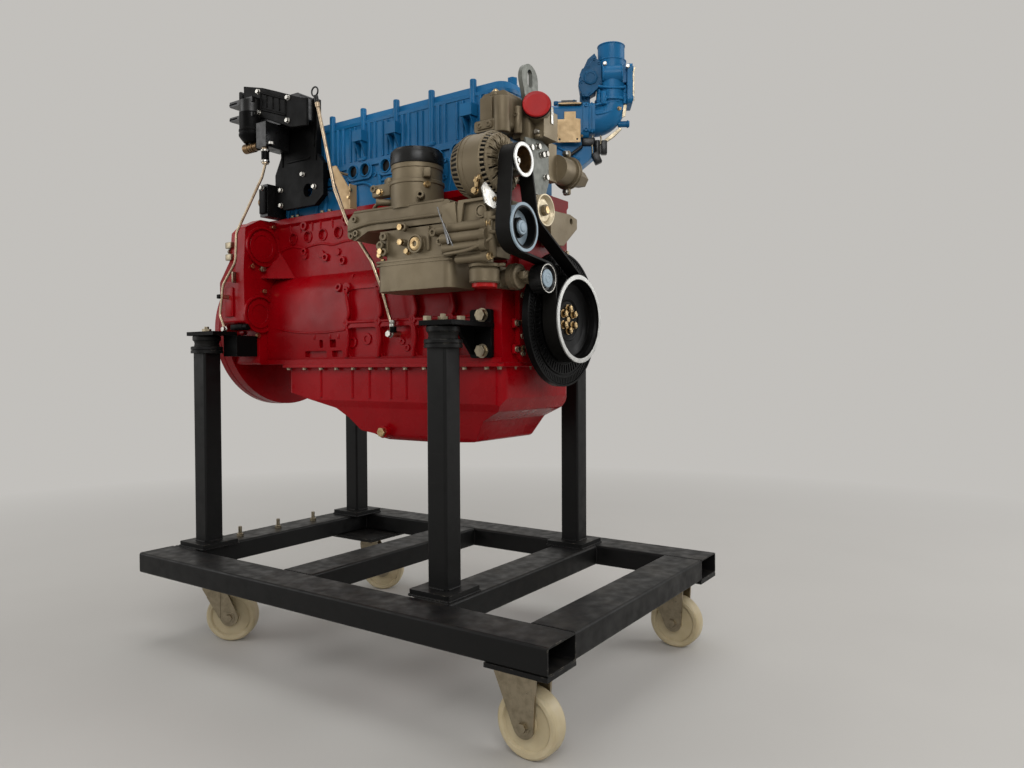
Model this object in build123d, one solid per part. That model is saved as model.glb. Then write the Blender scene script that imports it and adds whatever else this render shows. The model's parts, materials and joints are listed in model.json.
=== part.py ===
from build123d import *
import math
import os

# Hydrogen engine on a wheeled stand.
# Millimetres, +Z up, +X towards the belt drive, origin on the floor under the middle of the stand.

# Stand sizes
FRAME_LENGTH = 1440.0
FRAME_WIDTH = 950.0
TUBE_WIDTH = 115.0
TUBE_HEIGHT = 60.0
TUBE_WALL = 4.0
TUBE_CORNER = 7.0
FRAME_BOTTOM = 212.0
CROSS_REAR_MID_X = -147.0
CROSS_POST_X = 326.0
FOOT_SIZE = 124.0
FOOT_THICKNESS = 15.0
POST_SIZE = 60.0
POST_WALL = 4.0
POST_CORNER = 7.0
POST_TOP = 872.0
POST_FRONT_X = 312.0
POST_REAR_X = -640.0
POST_HALF_TRACK = 319.0
STUD_RADIUS = 6.0
STUD_HEIGHT = 32.0
STUD_YS = (-162.0, -8.0, 148.0)

# Castor sizes
WHEEL_RADIUS = 75.0
WHEEL_WIDTH = 46.0
WHEEL_BORE = 10.0
AXLE_RADIUS = 6.0
AXLE_PLAY = 0.1
FORK_GAP = 3.0
FORK_THICKNESS = 4.0
CORNER_PLATE_THICKNESS = 10.0
CASTOR_TOP_THICKNESS = 5.0
CASTOR_TOP_SIZE = 120.0
FIXED_CASTOR_X = 631.0
FIXED_CASTOR_Y = 396.0
FIXED_PLATE_LENGTH = 156.0
FIXED_TOP_LENGTH = 125.0
FIXED_TOP_WIDTH = 96.0
FIXED_TOP_SHIFT = -14.5
SWIVEL_CASTOR_X = -555.0
SWIVEL_CASTOR_Y = 328.0
SWIVEL_PLATE_LENGTH = 210.0
SWIVEL_PLATE_WIDTH = 205.0
SWIVEL_TRAIL = 50.0
SWIVEL_TURN = 34.0
SWIVEL_RACE_HEIGHT = 16.0
KING_PIN_RADIUS = 9.0

# Rubber mount sizes
MOUNT_FLANGE_RADIUS = 47.5
MOUNT_FLANGE_HEIGHT = 21.0
MOUNT_RUBBER_RADIUS = 38.0
MOUNT_RUBBER_HEIGHT = 17.0
MOUNT_CAP_RADIUS = 42.0
MOUNT_CAP_HEIGHT = 16.0
BRACKET_THICKNESS = 12.0

# Engine datum
CRANK_Y = 27.0
CRANK_Z = 950.0
CYLINDER_PITCH = 131.0
FIRST_CYLINDER_X = 243.0
CYLINDER_COUNT = 6

# Block and housings
BLOCK_FRONT_X = 392.0
BLOCK_REAR_X = -560.0
RAIL_Z = 836.0
RAIL_HEIGHT = 14.0
RAIL_HALF = 188.0
CRANKCASE_HALF = 185.0
SKIRT_HALF = 170.0
SHOULDER_Z = 1110.0
WALL_HALF = 142.0
DECK_HEIGHT = 348.0
DECK_LIP = 8.0
MAIN_BORE_RADIUS = 46.0
GEAR_REAR_X = -640.0
GEAR_FRONT_X = -520.0
UPPER_PAD = (-200.0, 1207.0, 56.0)
LOWER_PAD = (-215.0, 995.0, 52.0)
BELL_REAR_X = -700.0
BELL_RADIUS = 244.5
BELL_BORE_RADIUS = 223.84
BELL_BOLT_CIRCLE_RADIUS = 233.36
BELL_BOLT_COUNT = 12
BELL_BOLT_RADIUS = 5.1
FRONT_COVER_THICKNESS = 14.0

# Oil pan
PAN_FLANGE = 10.0
PAN_REAR_X = -452.0
PAN_HALF = 168.0
PAN_BOTTOM_Z = 615.0
PAN_SHELF_Z = 722.0
DRAIN_X = -42.0

# Head and cover
HEAD_REAR_X = -548.0
HEAD_FRONT_X = 360.0
HEAD_HALF = 134.0
HEAD_HEIGHT = 129.0
COVER_REAR_X = -500.0
COVER_FRONT_X = 368.0
COVER_FRONT_CORNER = 45.0
COVER_HALF = 128.0
COVER_HEIGHT = 148.0
COVER_WALL_HEIGHT = 116.0
PORT_DROP = 22.0
PORT_SPREAD = 49.0
PORT_RADIUS = 17.0
DECK_Z = CRANK_Z + DECK_HEIGHT
HEAD_TOP_Z = DECK_Z + HEAD_HEIGHT
COVER_TOP_Z = HEAD_TOP_Z + COVER_HEIGHT
PORT_Z = HEAD_TOP_Z - PORT_DROP

# Crankshaft end and drive
SHAFT_RADIUS = 45.9
NOSE_RADIUS = 34.0
DAMPER_RADIUS = 178.0
DAMPER_REAR_X = 447.0
DAMPER_FRONT_X = 466.0
DAMPER_SLOTS = 68
DAMPER_TEETH = 120
DAMPER_CLEARANCE = 16.0
PULLEY_FRONT_X = 514.0
PULLEY_RIM_RADIUS = 115.0
PULLEY_GROOVE_RADIUS = 108.0
PULLEY_WALL = 9.0
PULLEY_HUB_X = 476.0
HUB_BOLT_CIRCLE_RADIUS = 29.0
HUB_BOLT_COUNT = 6
FLYWHEEL_RADIUS = 206.0
FLYWHEEL_FRONT_X = -650.0
FLYWHEEL_REAR_X = -688.0

# Belt drive
BELT_THICKNESS = 5.0
BELT_REAR_X = 468.0
BELT_WIDTH = 40.0
BELT_PLAY = 0.3
ALTERNATOR = (-262.0, CRANK_Z + 360.0, 36.0)
PUMP = (-259.0, CRANK_Z + 203.0, 54.0)
DISC_IDLER = (-157.0, CRANK_Z + 260.0, 39.0)
TENSIONER = (-148.0, CRANK_Z + 93.5, 36.5)
TENSIONER_PIVOT = (-202.0, CRANK_Z + 97.0)
ROLLER_REAR_X = 472.5
ALTERNATOR_BODY_RADIUS = 77.0
ALTERNATOR_REAR_X = 344.0
ALTERNATOR_FRONT_X = 460.0

# Intake, measured from the throttle's axis
THROTTLE_X = 440.0
THROTTLE_Y = 326.0
THROTTLE_FOOT_Z = 1616.0
THROTTLE_HEIGHT = 124.0
THROTTLE_RADIUS = 44.0
THROTTLE_BORE = 34.0
SPIGOT_RADIUS = 40.0
SPIGOT_LENGTH = 46.0
INTAKE_TURN = 31.5
ELBOW_RADIUS = 44.0
ELBOW_BEND = 54.0

# Dipstick
DIP_BORE = 3.4
DIP_BLADE = 58.0

os.makedirs("parts", exist_ok=True)


def box(x0, x1, y0, y1, z0, z1):
    return Pos((x0 + x1) / 2, (y0 + y1) / 2, (z0 + z1) / 2) * Box(x1 - x0, y1 - y0, z1 - z0)


def cyl_x(y, z, radius, x0, x1):
    return Pos((x0 + x1) / 2, y, z) * Rot(0, 90, 0) * Cylinder(radius, x1 - x0)


def cyl_y(x, z, radius, y0, y1):
    return Pos(x, (y0 + y1) / 2, z) * Rot(90, 0, 0) * Cylinder(radius, y1 - y0)


def cyl_z(x, y, radius, z0, z1):
    return Pos(x, y, (z0 + z1) / 2) * Cylinder(radius, z1 - z0)


def hex_x(y, z, flats, x0, x1):
    sketch = RegularPolygon(flats / math.sqrt(3), 6)
    return Pos(x0, y, z) * Rot(0, 90, 0) * extrude(sketch, x1 - x0)


def hex_y(x, z, flats, y0, y1):
    sketch = RegularPolygon(flats / math.sqrt(3), 6)
    return Pos(x, y0, z) * Rot(-90, 0, 0) * extrude(sketch, y1 - y0)


def hex_z(x, y, flats, z0, z1):
    sketch = RegularPolygon(flats / math.sqrt(3), 6)
    return Pos(x, y, z0) * extrude(sketch, z1 - z0)


def section_x(sketch, x0, x1):
    return extrude(Plane.YZ.offset(x0) * sketch, x1 - x0, dir=(1, 0, 0))


def section_y(sketch, y0, y1):
    return extrude(Plane.XZ.offset(-y0) * sketch, y1 - y0, dir=(0, 1, 0))


def section_z(sketch, z0, z1):
    return extrude(Plane.XY.offset(z0) * sketch, z1 - z0, dir=(0, 0, 1))


def poly(*points):
    return Polygon(*points, align=None)


def spun_x(points, y, z):
    face = Plane.XZ * Polygon(*points, align=None)
    return Pos(0, y, z) * revolve(face, Axis.X)


def spun_z(points, x, y):
    face = Plane.XZ * Polygon(*points, align=None)
    return Pos(x, y, 0) * revolve(face, Axis.Z)


def ring_points(count, radius, start=0.0):
    step = 2 * math.pi / count
    return [(radius * math.cos(start + i * step), radius * math.sin(start + i * step)) for i in range(count)]


def save(name, *solids):
    flat = []
    for item in solids:
        flat.extend(item.solids())
    shape = flat[0] if len(flat) == 1 else Compound(children=flat)
    shape.label = name
    export_step(shape, os.path.join("parts", name + ".step"))


def save_engine(name, *solids):
    save(name, *[Pos(0, CRANK_Y, 0) * item for item in solids])


def both_sides(item):
    return [item, mirror(item, Plane.XZ)]


# Stand frame
FRAME_TOP = FRAME_BOTTOM + TUBE_HEIGHT
FOOT_TOP = FRAME_TOP + FOOT_THICKNESS
SIDE_Y = (FRAME_WIDTH - TUBE_WIDTH) / 2
INNER_WIDTH = FRAME_WIDTH - 2 * TUBE_WIDTH
END_X = (FRAME_LENGTH - TUBE_WIDTH) / 2


def tube_section(width, height, wall, corner):
    outer = RectangleRounded(width, height, corner)
    inner = RectangleRounded(width - 2 * wall, height - 2 * wall, corner - wall)
    return outer - inner


flat_tube = tube_section(TUBE_WIDTH, TUBE_HEIGHT, TUBE_WALL, TUBE_CORNER)
side_beam = section_x(Pos(SIDE_Y, FRAME_BOTTOM + TUBE_HEIGHT / 2) * flat_tube, -FRAME_LENGTH / 2, FRAME_LENGTH / 2)
save("side_beams", *both_sides(side_beam))

cross_beams = []
for beam_x in (-END_X, CROSS_REAR_MID_X, CROSS_POST_X, END_X):
    sketch = Pos(beam_x, FRAME_BOTTOM + TUBE_HEIGHT / 2) * flat_tube
    cross_beams.append(section_y(sketch, -INNER_WIDTH / 2, INNER_WIDTH / 2))
save("cross_beams", *cross_beams)

post_tube = tube_section(POST_SIZE, POST_SIZE, POST_WALL, POST_CORNER)
post_spots = [(x, CRANK_Y + s * POST_HALF_TRACK) for x in (POST_REAR_X, POST_FRONT_X) for s in (-1, 1)]
foot_plate = extrude(RectangleRounded(FOOT_SIZE, FOOT_SIZE, 4.0), FOOT_THICKNESS)
save("post_feet", *[Pos(x, y, FRAME_TOP) * foot_plate for x, y in post_spots])
post = extrude(post_tube, POST_TOP - FOOT_TOP)
save("posts", *[Pos(x, y, FOOT_TOP) * post for x, y in post_spots])
stud = Cylinder(STUD_RADIUS, STUD_HEIGHT, align=(Align.CENTER, Align.CENTER, Align.MIN))
stud_nut = extrude(RegularPolygon(11.0, 6) - Circle(STUD_RADIUS), 9.0)

# Castor plates under the frame corners
corner_plates = []
for side in (-1, 1):
    fixed = Pos((FRAME_LENGTH - FIXED_PLATE_LENGTH) / 2, side * SIDE_Y) * Rectangle(FIXED_PLATE_LENGTH, TUBE_WIDTH)
    corner_plates.append(section_z(fixed, FRAME_BOTTOM - CORNER_PLATE_THICKNESS, FRAME_BOTTOM))
    swivel = Pos(SWIVEL_CASTOR_X, side * SWIVEL_CASTOR_Y) * Rectangle(SWIVEL_PLATE_LENGTH, SWIVEL_PLATE_WIDTH)
    corner_plates.append(section_z(swivel, FRAME_BOTTOM - CORNER_PLATE_THICKNESS, FRAME_BOTTOM))
save("corner_plates", *corner_plates)

# Castor wheel, turned about its axle, web recessed between tread and hub
PLATE_UNDER = FRAME_BOTTOM - CORNER_PLATE_THICKNESS
wheel_profile = [
    (-WHEEL_WIDTH / 2 - 2, WHEEL_BORE),
    (-WHEEL_WIDTH / 2 - 2, 20.0),
    (-WHEEL_WIDTH / 2 + 8, 24.0),
    (-WHEEL_WIDTH / 2 + 8, 56.0),
    (-WHEEL_WIDTH / 2 + 1, 60.0),
    (-WHEEL_WIDTH / 2, 69.0),
    (-WHEEL_WIDTH / 2 + 3, 73.0),
    (-WHEEL_WIDTH / 2 + 9, WHEEL_RADIUS),
    (WHEEL_WIDTH / 2 - 9, WHEEL_RADIUS),
    (WHEEL_WIDTH / 2 - 3, 73.0),
    (WHEEL_WIDTH / 2, 69.0),
    (WHEEL_WIDTH / 2 - 1, 60.0),
    (WHEEL_WIDTH / 2 - 8, 56.0),
    (WHEEL_WIDTH / 2 - 8, 24.0),
    (WHEEL_WIDTH / 2 + 2, 20.0),
    (WHEEL_WIDTH / 2 + 2, WHEEL_BORE),
]
wheel_x = spun_x(wheel_profile, 0, 0)
wheel = Rot(0, 0, 90) * wheel_x
HUB_HALF = WHEEL_WIDTH / 2 + 2
FORK_HALF = HUB_HALF + FORK_GAP
LEG_TOP = PLATE_UNDER - CASTOR_TOP_THICKNESS


def castor_fork(top_z, trail, rear, front, strip):
    # One cheek seen along the axle: wide at the crown, round at the axle, with a pressed strip down its middle
    cheek = make_hull(
        [e for e in (Pos(trail, WHEEL_RADIUS) * Circle(26.0)).edges()]
        + [e for e in (Pos((front - rear) / 2, top_z - 10) * Rectangle(front + rear, 20)).edges()]
    )
    relief = Pos(trail + strip[0], WHEEL_RADIUS) * Circle(16.0)
    relief += Pos((strip[1] + strip[2]) / 2, (WHEEL_RADIUS + top_z) / 2) * Rectangle(
        strip[2] - strip[1], top_z - WHEEL_RADIUS)
    relief = cheek & relief
    outer = FORK_HALF + FORK_THICKNESS
    legs = section_y(cheek, -outer, -FORK_HALF) + section_y(cheek, FORK_HALF, outer)
    legs += section_y(relief, -outer - 2, -outer) + section_y(relief, outer, outer + 2)
    legs += box(-rear, front, -outer, outer, top_z - FORK_THICKNESS, top_z)
    bolt = cyl_y(trail, WHEEL_RADIUS, AXLE_RADIUS, -outer - 2, outer + 2)
    sleeve = cyl_y(trail, WHEEL_RADIUS, WHEEL_BORE - AXLE_PLAY, -FORK_HALF, FORK_HALF)
    legs -= bolt
    axle = bolt + sleeve
    axle += hex_y(trail, WHEEL_RADIUS, 19.0, -outer - 9, -outer - 2)
    axle += hex_y(trail, WHEEL_RADIUS, 19.0, outer + 2, outer + 12)
    return legs, axle


fixed_items = []
fixed_fork, fixed_axle = castor_fork(LEG_TOP, 0.0, 74.0, 32.0, (0.0, -28.0, 31.0))
fixed_top = Pos(FIXED_TOP_SHIFT, 0, LEG_TOP) * extrude(
    RectangleRounded(FIXED_TOP_LENGTH, FIXED_TOP_WIDTH, 6.0), CASTOR_TOP_THICKNESS)
castor_top = extrude(RectangleRounded(CASTOR_TOP_SIZE, CASTOR_TOP_SIZE, 6.0), CASTOR_TOP_THICKNESS)
for side in (-1, 1):
    place = Pos(FIXED_CASTOR_X, side * FIXED_CASTOR_Y, 0)
    fixed_items.append(place * (fixed_fork + fixed_top))
    fixed_items.append(place * fixed_axle)
save("fixed_forks", *fixed_items)

RACE_TOP = LEG_TOP
RACE_BOTTOM = RACE_TOP - SWIVEL_RACE_HEIGHT
swivel_fork, swivel_axle = castor_fork(RACE_BOTTOM - 0.3, SWIVEL_TRAIL, 30.0, 30.0, (0.0, -16.0, 24.0))
swivel_fork -= cyl_z(0, 0, KING_PIN_RADIUS + AXLE_PLAY, RACE_BOTTOM - 20, RACE_BOTTOM)
swivel_tops = []
for side in (-1, 1):
    place = Pos(SWIVEL_CASTOR_X, side * SWIVEL_CASTOR_Y, 0)
    top = Pos(0, 0, LEG_TOP) * castor_top
    top += cyl_z(0, 0, 34.0, RACE_BOTTOM, RACE_TOP)
    top += cyl_z(0, 0, KING_PIN_RADIUS, RACE_BOTTOM - 8, RACE_BOTTOM)
    swivel_tops.append(place * top)
save("swivel_tops", *swivel_tops)
for name, side in (("near", -1), ("far", 1)):
    place = Pos(SWIVEL_CASTOR_X, side * SWIVEL_CASTOR_Y, 0) * Rot(0, 0, SWIVEL_TURN)
    save("swivel_fork_" + name, place * swivel_fork, place * swivel_axle)
    save("wheel_rear_" + name, place * Pos(SWIVEL_TRAIL, 0, WHEEL_RADIUS) * wheel)
    save("wheel_front_" + name, Pos(FIXED_CASTOR_X, side * FIXED_CASTOR_Y, WHEEL_RADIUS) * wheel)

# Rubber mounts on the posts
FLANGE_TOP = POST_TOP + MOUNT_FLANGE_HEIGHT
RUBBER_TOP = FLANGE_TOP + MOUNT_RUBBER_HEIGHT
CAP_TOP = RUBBER_TOP + MOUNT_CAP_HEIGHT
flange_profile = [
    (0, POST_TOP),
    (MOUNT_FLANGE_RADIUS, POST_TOP),
    (MOUNT_FLANGE_RADIUS, POST_TOP + 8),
    (MOUNT_FLANGE_RADIUS - 2, POST_TOP + 10),
    (MOUNT_FLANGE_RADIUS, POST_TOP + 12),
    (MOUNT_FLANGE_RADIUS, FLANGE_TOP - 2),
    (MOUNT_FLANGE_RADIUS - 2, FLANGE_TOP),
    (0, FLANGE_TOP),
]
cap_profile = [
    (0, RUBBER_TOP),
    (MOUNT_CAP_RADIUS - 2, RUBBER_TOP),
    (MOUNT_CAP_RADIUS, RUBBER_TOP + 3),
    (MOUNT_CAP_RADIUS, CAP_TOP - 3),
    (MOUNT_CAP_RADIUS - 3, CAP_TOP),
    (0, CAP_TOP),
]
rubber_profile = [
    (0, FLANGE_TOP),
    (MOUNT_RUBBER_RADIUS, FLANGE_TOP),
    (MOUNT_RUBBER_RADIUS - 2, FLANGE_TOP + MOUNT_RUBBER_HEIGHT / 2),
    (MOUNT_RUBBER_RADIUS, RUBBER_TOP),
    (0, RUBBER_TOP),
]
save("mount_plates", *[spun_z(p, x, y) for p in (flange_profile, cap_profile) for x, y in post_spots])
save("mount_rubbers", *[spun_z(rubber_profile, x, y) for x, y in post_spots])

# Engine side brackets, in engine coordinates
ARM_TOP = CAP_TOP + BRACKET_THICKNESS
front_arm = box(POST_FRONT_X - 42, POST_FRONT_X + 60, -POST_HALF_TRACK - 42, -RAIL_HALF, CAP_TOP, ARM_TOP)
front_plate_x = (303.0, 370.0)
front_plate = section_y(
    Pos(sum(front_plate_x) / 2, 910) * RectangleRounded(front_plate_x[1] - front_plate_x[0], 124, 8),
    -RAIL_HALF - BRACKET_THICKNESS,
    -RAIL_HALF,
)
web_points = ((-RAIL_HALF - BRACKET_THICKNESS, 856), (-RAIL_HALF - BRACKET_THICKNESS, CAP_TOP), (-268, CAP_TOP))
front_web = section_x(poly(*web_points), 303, 315)
front_bracket = front_arm + front_plate + front_web
front_bolt_spots = [(343.0, 957.0), (343.0, 866.0)]

REAR_SIDE_Y = -215.0
CASE_CORNER = 9.0
rear_arm = box(POST_REAR_X - 42, POST_REAR_X + 92, -POST_HALF_TRACK - 42, -276, CAP_TOP, ARM_TOP)
rear_block = box(-596, -530, -290, REAR_SIDE_Y, 862, CAP_TOP)
rear_bracket = rear_arm + rear_block
rear_bracket += box(-596, -548, -290, -276, CAP_TOP, ARM_TOP)

mount_items = both_sides(front_bracket) + both_sides(rear_bracket)
save_engine("mount_brackets", *mount_items)

stand_bolts = []
for stud_y in STUD_YS:
    stand_bolts.append(Pos(-END_X, stud_y, FRAME_TOP) * stud)
    stand_bolts.append(Pos(-END_X, stud_y, FRAME_TOP) * stud_nut)
for x, y in post_spots:
    stand_bolts.append(hex_z(x, y, 24, ARM_TOP, ARM_TOP + 10) + cyl_z(x, y, 7, ARM_TOP + 10, ARM_TOP + 17))
for side in (-1, 1):
    for bolt_x, bolt_y in ((POST_FRONT_X - 24, -30), (POST_FRONT_X + 40, 20)):
        spot_y = CRANK_Y + side * (POST_HALF_TRACK + bolt_y * -1)
        stand_bolts.append(hex_z(bolt_x, spot_y, 19, ARM_TOP, ARM_TOP + 11))
    for bolt_x, bolt_z in front_bolt_spots:
        face_y = -RAIL_HALF - BRACKET_THICKNESS
        head = hex_y(bolt_x, bolt_z, 27, face_y - 14, face_y) + cyl_y(bolt_x, bolt_z, 18, face_y - 3, face_y)
        head = Pos(0, CRANK_Y, 0) * head
        stand_bolts.append(head if side < 0 else mirror(head, Plane.XZ.offset(-CRANK_Y)))
save("stand_bolts", *stand_bolts)

# Cylinder block: one section along the engine, arc shoulder between crankcase and cylinder walls
half = [
    Line((0, RAIL_Z), (RAIL_HALF, RAIL_Z)),
    Line((RAIL_HALF, RAIL_Z), (RAIL_HALF, RAIL_Z + RAIL_HEIGHT)),
    Line((RAIL_HALF, RAIL_Z + RAIL_HEIGHT), (CRANKCASE_HALF - 6, RAIL_Z + RAIL_HEIGHT)),
    ThreePointArc((CRANKCASE_HALF - 6, RAIL_Z + RAIL_HEIGHT), (CRANKCASE_HALF, 950), (176, 1046)),
    ThreePointArc((176, 1046), (163, 1086), (WALL_HALF, SHOULDER_Z)),
    Line((WALL_HALF, SHOULDER_Z), (WALL_HALF, DECK_Z - 26)),
    Line((WALL_HALF, DECK_Z - 26), (WALL_HALF + DECK_LIP, DECK_Z - 18)),
    Line((WALL_HALF + DECK_LIP, DECK_Z - 18), (WALL_HALF + DECK_LIP, DECK_Z)),
    Line((WALL_HALF + DECK_LIP, DECK_Z), (0, DECK_Z)),
    Line((0, DECK_Z), (0, RAIL_Z)),
]
half_face = make_face(half)
block_face = half_face + mirror(half_face, Plane.YZ)
block_envelope = section_x(block_face, BLOCK_REAR_X, BLOCK_FRONT_X)

WEB_EDGES = (-163.0, -35.0, 96.0, 227.0, 348.0)
pockets = []
for left, right in zip(WEB_EDGES, WEB_EDGES[1:]):
    low = Pos((left + right) / 2, 899) * RectangleRounded(right - left - 14, 84, 10)
    high = Pos((left + right) / 2, 1006) * RectangleRounded(right - left - 14, 96, 10)
    pockets.append(section_y(low, -RAIL_HALF - 2, -SKIRT_HALF))
    pockets.append(section_y(high, -RAIL_HALF - 2, -SKIRT_HALF))
block = block_envelope
for pocket in pockets:
    block = block - pocket - mirror(pocket, Plane.XZ)
PLUG_XS = tuple(-440.0 + i * 67.5 for i in range(4))
PLUG_RADIUS = 16.0
PLUG_DEPTH = 9.0
PLUG_Z = 1233.0
for plug_x in PLUG_XS:
    block -= cyl_y(plug_x, PLUG_Z, PLUG_RADIUS, -WALL_HALF, -WALL_HALF + PLUG_DEPTH)
block -= cyl_x(0, CRANK_Z, MAIN_BORE_RADIUS, BLOCK_REAR_X, BLOCK_FRONT_X)
for boss_x in (-385.0, -310.0, -240.0):
    block += cyl_y(boss_x, 1175, 11, -WALL_HALF - 5, -WALL_HALF + 1)
for boss_x in WEB_EDGES[:3]:
    block += cyl_y(boss_x, 1060, 14, -184, -160)
    block += section_x(poly((-150, 1100), (-158, 1100), (-174, 1060), (-184, 1050), (-160, 1050)), boss_x - 5, boss_x + 5)
for x0, x1, z0, z1 in ((-346, -251, 857, 876), (-227, -183, 857, 876), (-279, -264, 885, 909), (-234, -208, 885, 909)):
    slot = Pos((x0 + x1) / 2, (z0 + z1) / 2) * RectangleRounded(x1 - x0, z1 - z0, 4)
    block -= section_y(slot, -RAIL_HALF - 2, -SKIRT_HALF)
save_engine("engine_block", block)

# Rear gear case with its two accessory pads facing forward
gear_outline = poly(
    (REAR_SIDE_Y, RAIL_Z), (REAR_SIDE_Y, 948), (-268, 968), (-270, 1096), (-232, 1170), (-224, 1258),
    (-190, 1292), (170, 1292), (196, 1262), (238, 1180), (258, 1090), (256, 968),
    (-REAR_SIDE_Y, 948), (-REAR_SIDE_Y, RAIL_Z),
)
gear_outline = fillet(gear_outline.vertices(), CASE_CORNER)
gear_rear = section_x(gear_outline, GEAR_REAR_X, BLOCK_REAR_X)
lobe_outline = poly(
    (-130, RAIL_Z), (REAR_SIDE_Y, RAIL_Z), (REAR_SIDE_Y, 948), (-268, 968), (-270, 1132), (-262, 1262),
    (-206, 1292), (-130, 1292),
)
lobe_outline = fillet([v for v in lobe_outline.vertices() if v.X < -131], CASE_CORNER)
gear_lobe = section_x(lobe_outline, BLOCK_REAR_X, GEAR_FRONT_X)
gear_lobe = gear_lobe - block_envelope
gear_case = gear_rear + gear_lobe
for pad_y, pad_z, pad_r in (UPPER_PAD, LOWER_PAD):
    rim = cyl_x(pad_y, pad_z, pad_r + 7, GEAR_FRONT_X, GEAR_FRONT_X + 10)
    rim = rim - block_envelope
    gear_case = gear_case + rim
    gear_case = gear_case - cyl_x(pad_y, pad_z, pad_r, GEAR_FRONT_X - 4, GEAR_FRONT_X + 12)
gusset_wall = loft([
    Plane.XY.offset(1108) * poly((GEAR_FRONT_X, -WALL_HALF), (GEAR_FRONT_X, -206), (-432, -WALL_HALF)),
    Plane.XY.offset(1206) * poly((GEAR_FRONT_X, -WALL_HALF), (GEAR_FRONT_X, -148), (-512, -WALL_HALF)),
])
gusset_wall = gusset_wall - block_envelope
pad_y, pad_z, pad_r = UPPER_PAD
gusset_wall = gusset_wall - cyl_x(pad_y, pad_z, pad_r, GEAR_FRONT_X - 4, GEAR_FRONT_X + 100)
gear_case = gear_case + gusset_wall
gear_case -= cyl_x(0, CRANK_Z, 62, GEAR_REAR_X, BLOCK_REAR_X)
save_engine("gear_case", gear_case)

# Flywheel housing, open towards the gearbox side, with the round bolt flange of its size
bell_profile = [
    (GEAR_REAR_X, BELL_BORE_RADIUS - 6),
    (GEAR_REAR_X, BELL_RADIUS + 2),
    (BELL_REAR_X + 26, BELL_RADIUS + 2),
    (BELL_REAR_X + 22, BELL_RADIUS + 3.5),
    (BELL_REAR_X, BELL_RADIUS + 3.5),
    (BELL_REAR_X, BELL_BORE_RADIUS),
    (BELL_REAR_X + 14, BELL_BORE_RADIUS),
    (BELL_REAR_X + 14, BELL_BORE_RADIUS - 6),
]
bell = spun_x(bell_profile, 0, CRANK_Z)
bell_back = cyl_x(0, CRANK_Z, BELL_BORE_RADIUS, GEAR_REAR_X - 8, GEAR_REAR_X) - cyl_x(
    0, CRANK_Z, 62, GEAR_REAR_X - 8, GEAR_REAR_X)
bell = bell + bell_back
for dy, dz in ring_points(BELL_BOLT_COUNT, BELL_BOLT_CIRCLE_RADIUS, math.pi / BELL_BOLT_COUNT):
    bell -= cyl_x(dy, CRANK_Z + dz, BELL_BOLT_RADIUS, BELL_REAR_X, BELL_REAR_X + 20)
save_engine("flywheel_housing", bell)

# Blanking covers in the pads and core plugs in the block wall
covers = []
for pad_y, pad_z, pad_r in (UPPER_PAD, LOWER_PAD):
    disc = cyl_x(pad_y, pad_z, pad_r, GEAR_FRONT_X - 4, GEAR_FRONT_X + 3)
    covers.append(disc - block_envelope)
for plug_x in PLUG_XS:
    cup = cyl_y(plug_x, PLUG_Z, PLUG_RADIUS, -WALL_HALF + 1.5, -WALL_HALF + PLUG_DEPTH)
    covers.append(cup - cyl_y(plug_x, PLUG_Z, PLUG_RADIUS - 2.5, -WALL_HALF, -WALL_HALF + PLUG_DEPTH - 2.5))
save_engine("blanking_covers", *covers)

# Front cover behind the damper
cover_sketch = Pos(0, 1000) * RectangleRounded(250, 328, 30)
front_cover = section_x(cover_sketch, BLOCK_FRONT_X, BLOCK_FRONT_X + FRONT_COVER_THICKNESS)
front_cover += cyl_x(0, CRANK_Z, 70, BLOCK_FRONT_X, BLOCK_FRONT_X + FRONT_COVER_THICKNESS + 5)
front_cover -= cyl_x(0, CRANK_Z, MAIN_BORE_RADIUS, BLOCK_FRONT_X, BLOCK_FRONT_X + 30)
save_engine("front_cover", front_cover)

# Oil pan: flange, tray whose floor slopes at both ends, deep sump with tapered sides
PAN_TOP = RAIL_Z
PAN_UNDER = PAN_TOP - PAN_FLANGE
pan_mid = (PAN_REAR_X + BLOCK_FRONT_X) / 2
pan_flange = section_z(
    Pos(pan_mid, 0) * RectangleRounded(BLOCK_FRONT_X - PAN_REAR_X, 2 * RAIL_HALF, 14), PAN_UNDER, PAN_TOP)
pan_side = poly(
    (PAN_REAR_X + 8, PAN_UNDER), (PAN_REAR_X + 8, 752), (-236, 704), (-189, 676), (-150, 640), (-97, 632),
    (-53, PAN_BOTTOM_Z), (116, PAN_BOTTOM_Z), (271, 624), (308, 682), (362, 709), (BLOCK_FRONT_X - 8, 744),
    (BLOCK_FRONT_X - 8, PAN_UNDER),
)
pan_side = fillet([v for v in pan_side.vertices() if v.Y < PAN_UNDER - 1], 14)
pan_end = poly(
    (-PAN_HALF, PAN_UNDER), (-PAN_HALF, PAN_SHELF_Z + 6), (-PAN_HALF + 9, PAN_SHELF_Z - 14), (-PAN_HALF + 34, PAN_BOTTOM_Z),
    (PAN_HALF - 34, PAN_BOTTOM_Z), (PAN_HALF - 9, PAN_SHELF_Z - 14), (PAN_HALF, PAN_SHELF_Z + 6), (PAN_HALF, PAN_UNDER),
)
pan_end = fillet([v for v in pan_end.vertices() if v.Y < PAN_SHELF_Z - 20], 26)
pan_plan = Pos(pan_mid, 0) * RectangleRounded(BLOCK_FRONT_X - PAN_REAR_X - 16, 2 * PAN_HALF, 24)
tub = section_y(pan_side, -PAN_HALF - 1, PAN_HALF + 1) & section_x(pan_end, PAN_REAR_X, BLOCK_FRONT_X)
tub = tub & section_z(pan_plan, PAN_BOTTOM_Z - 1, PAN_UNDER)
pan = pan_flange + tub
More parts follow.
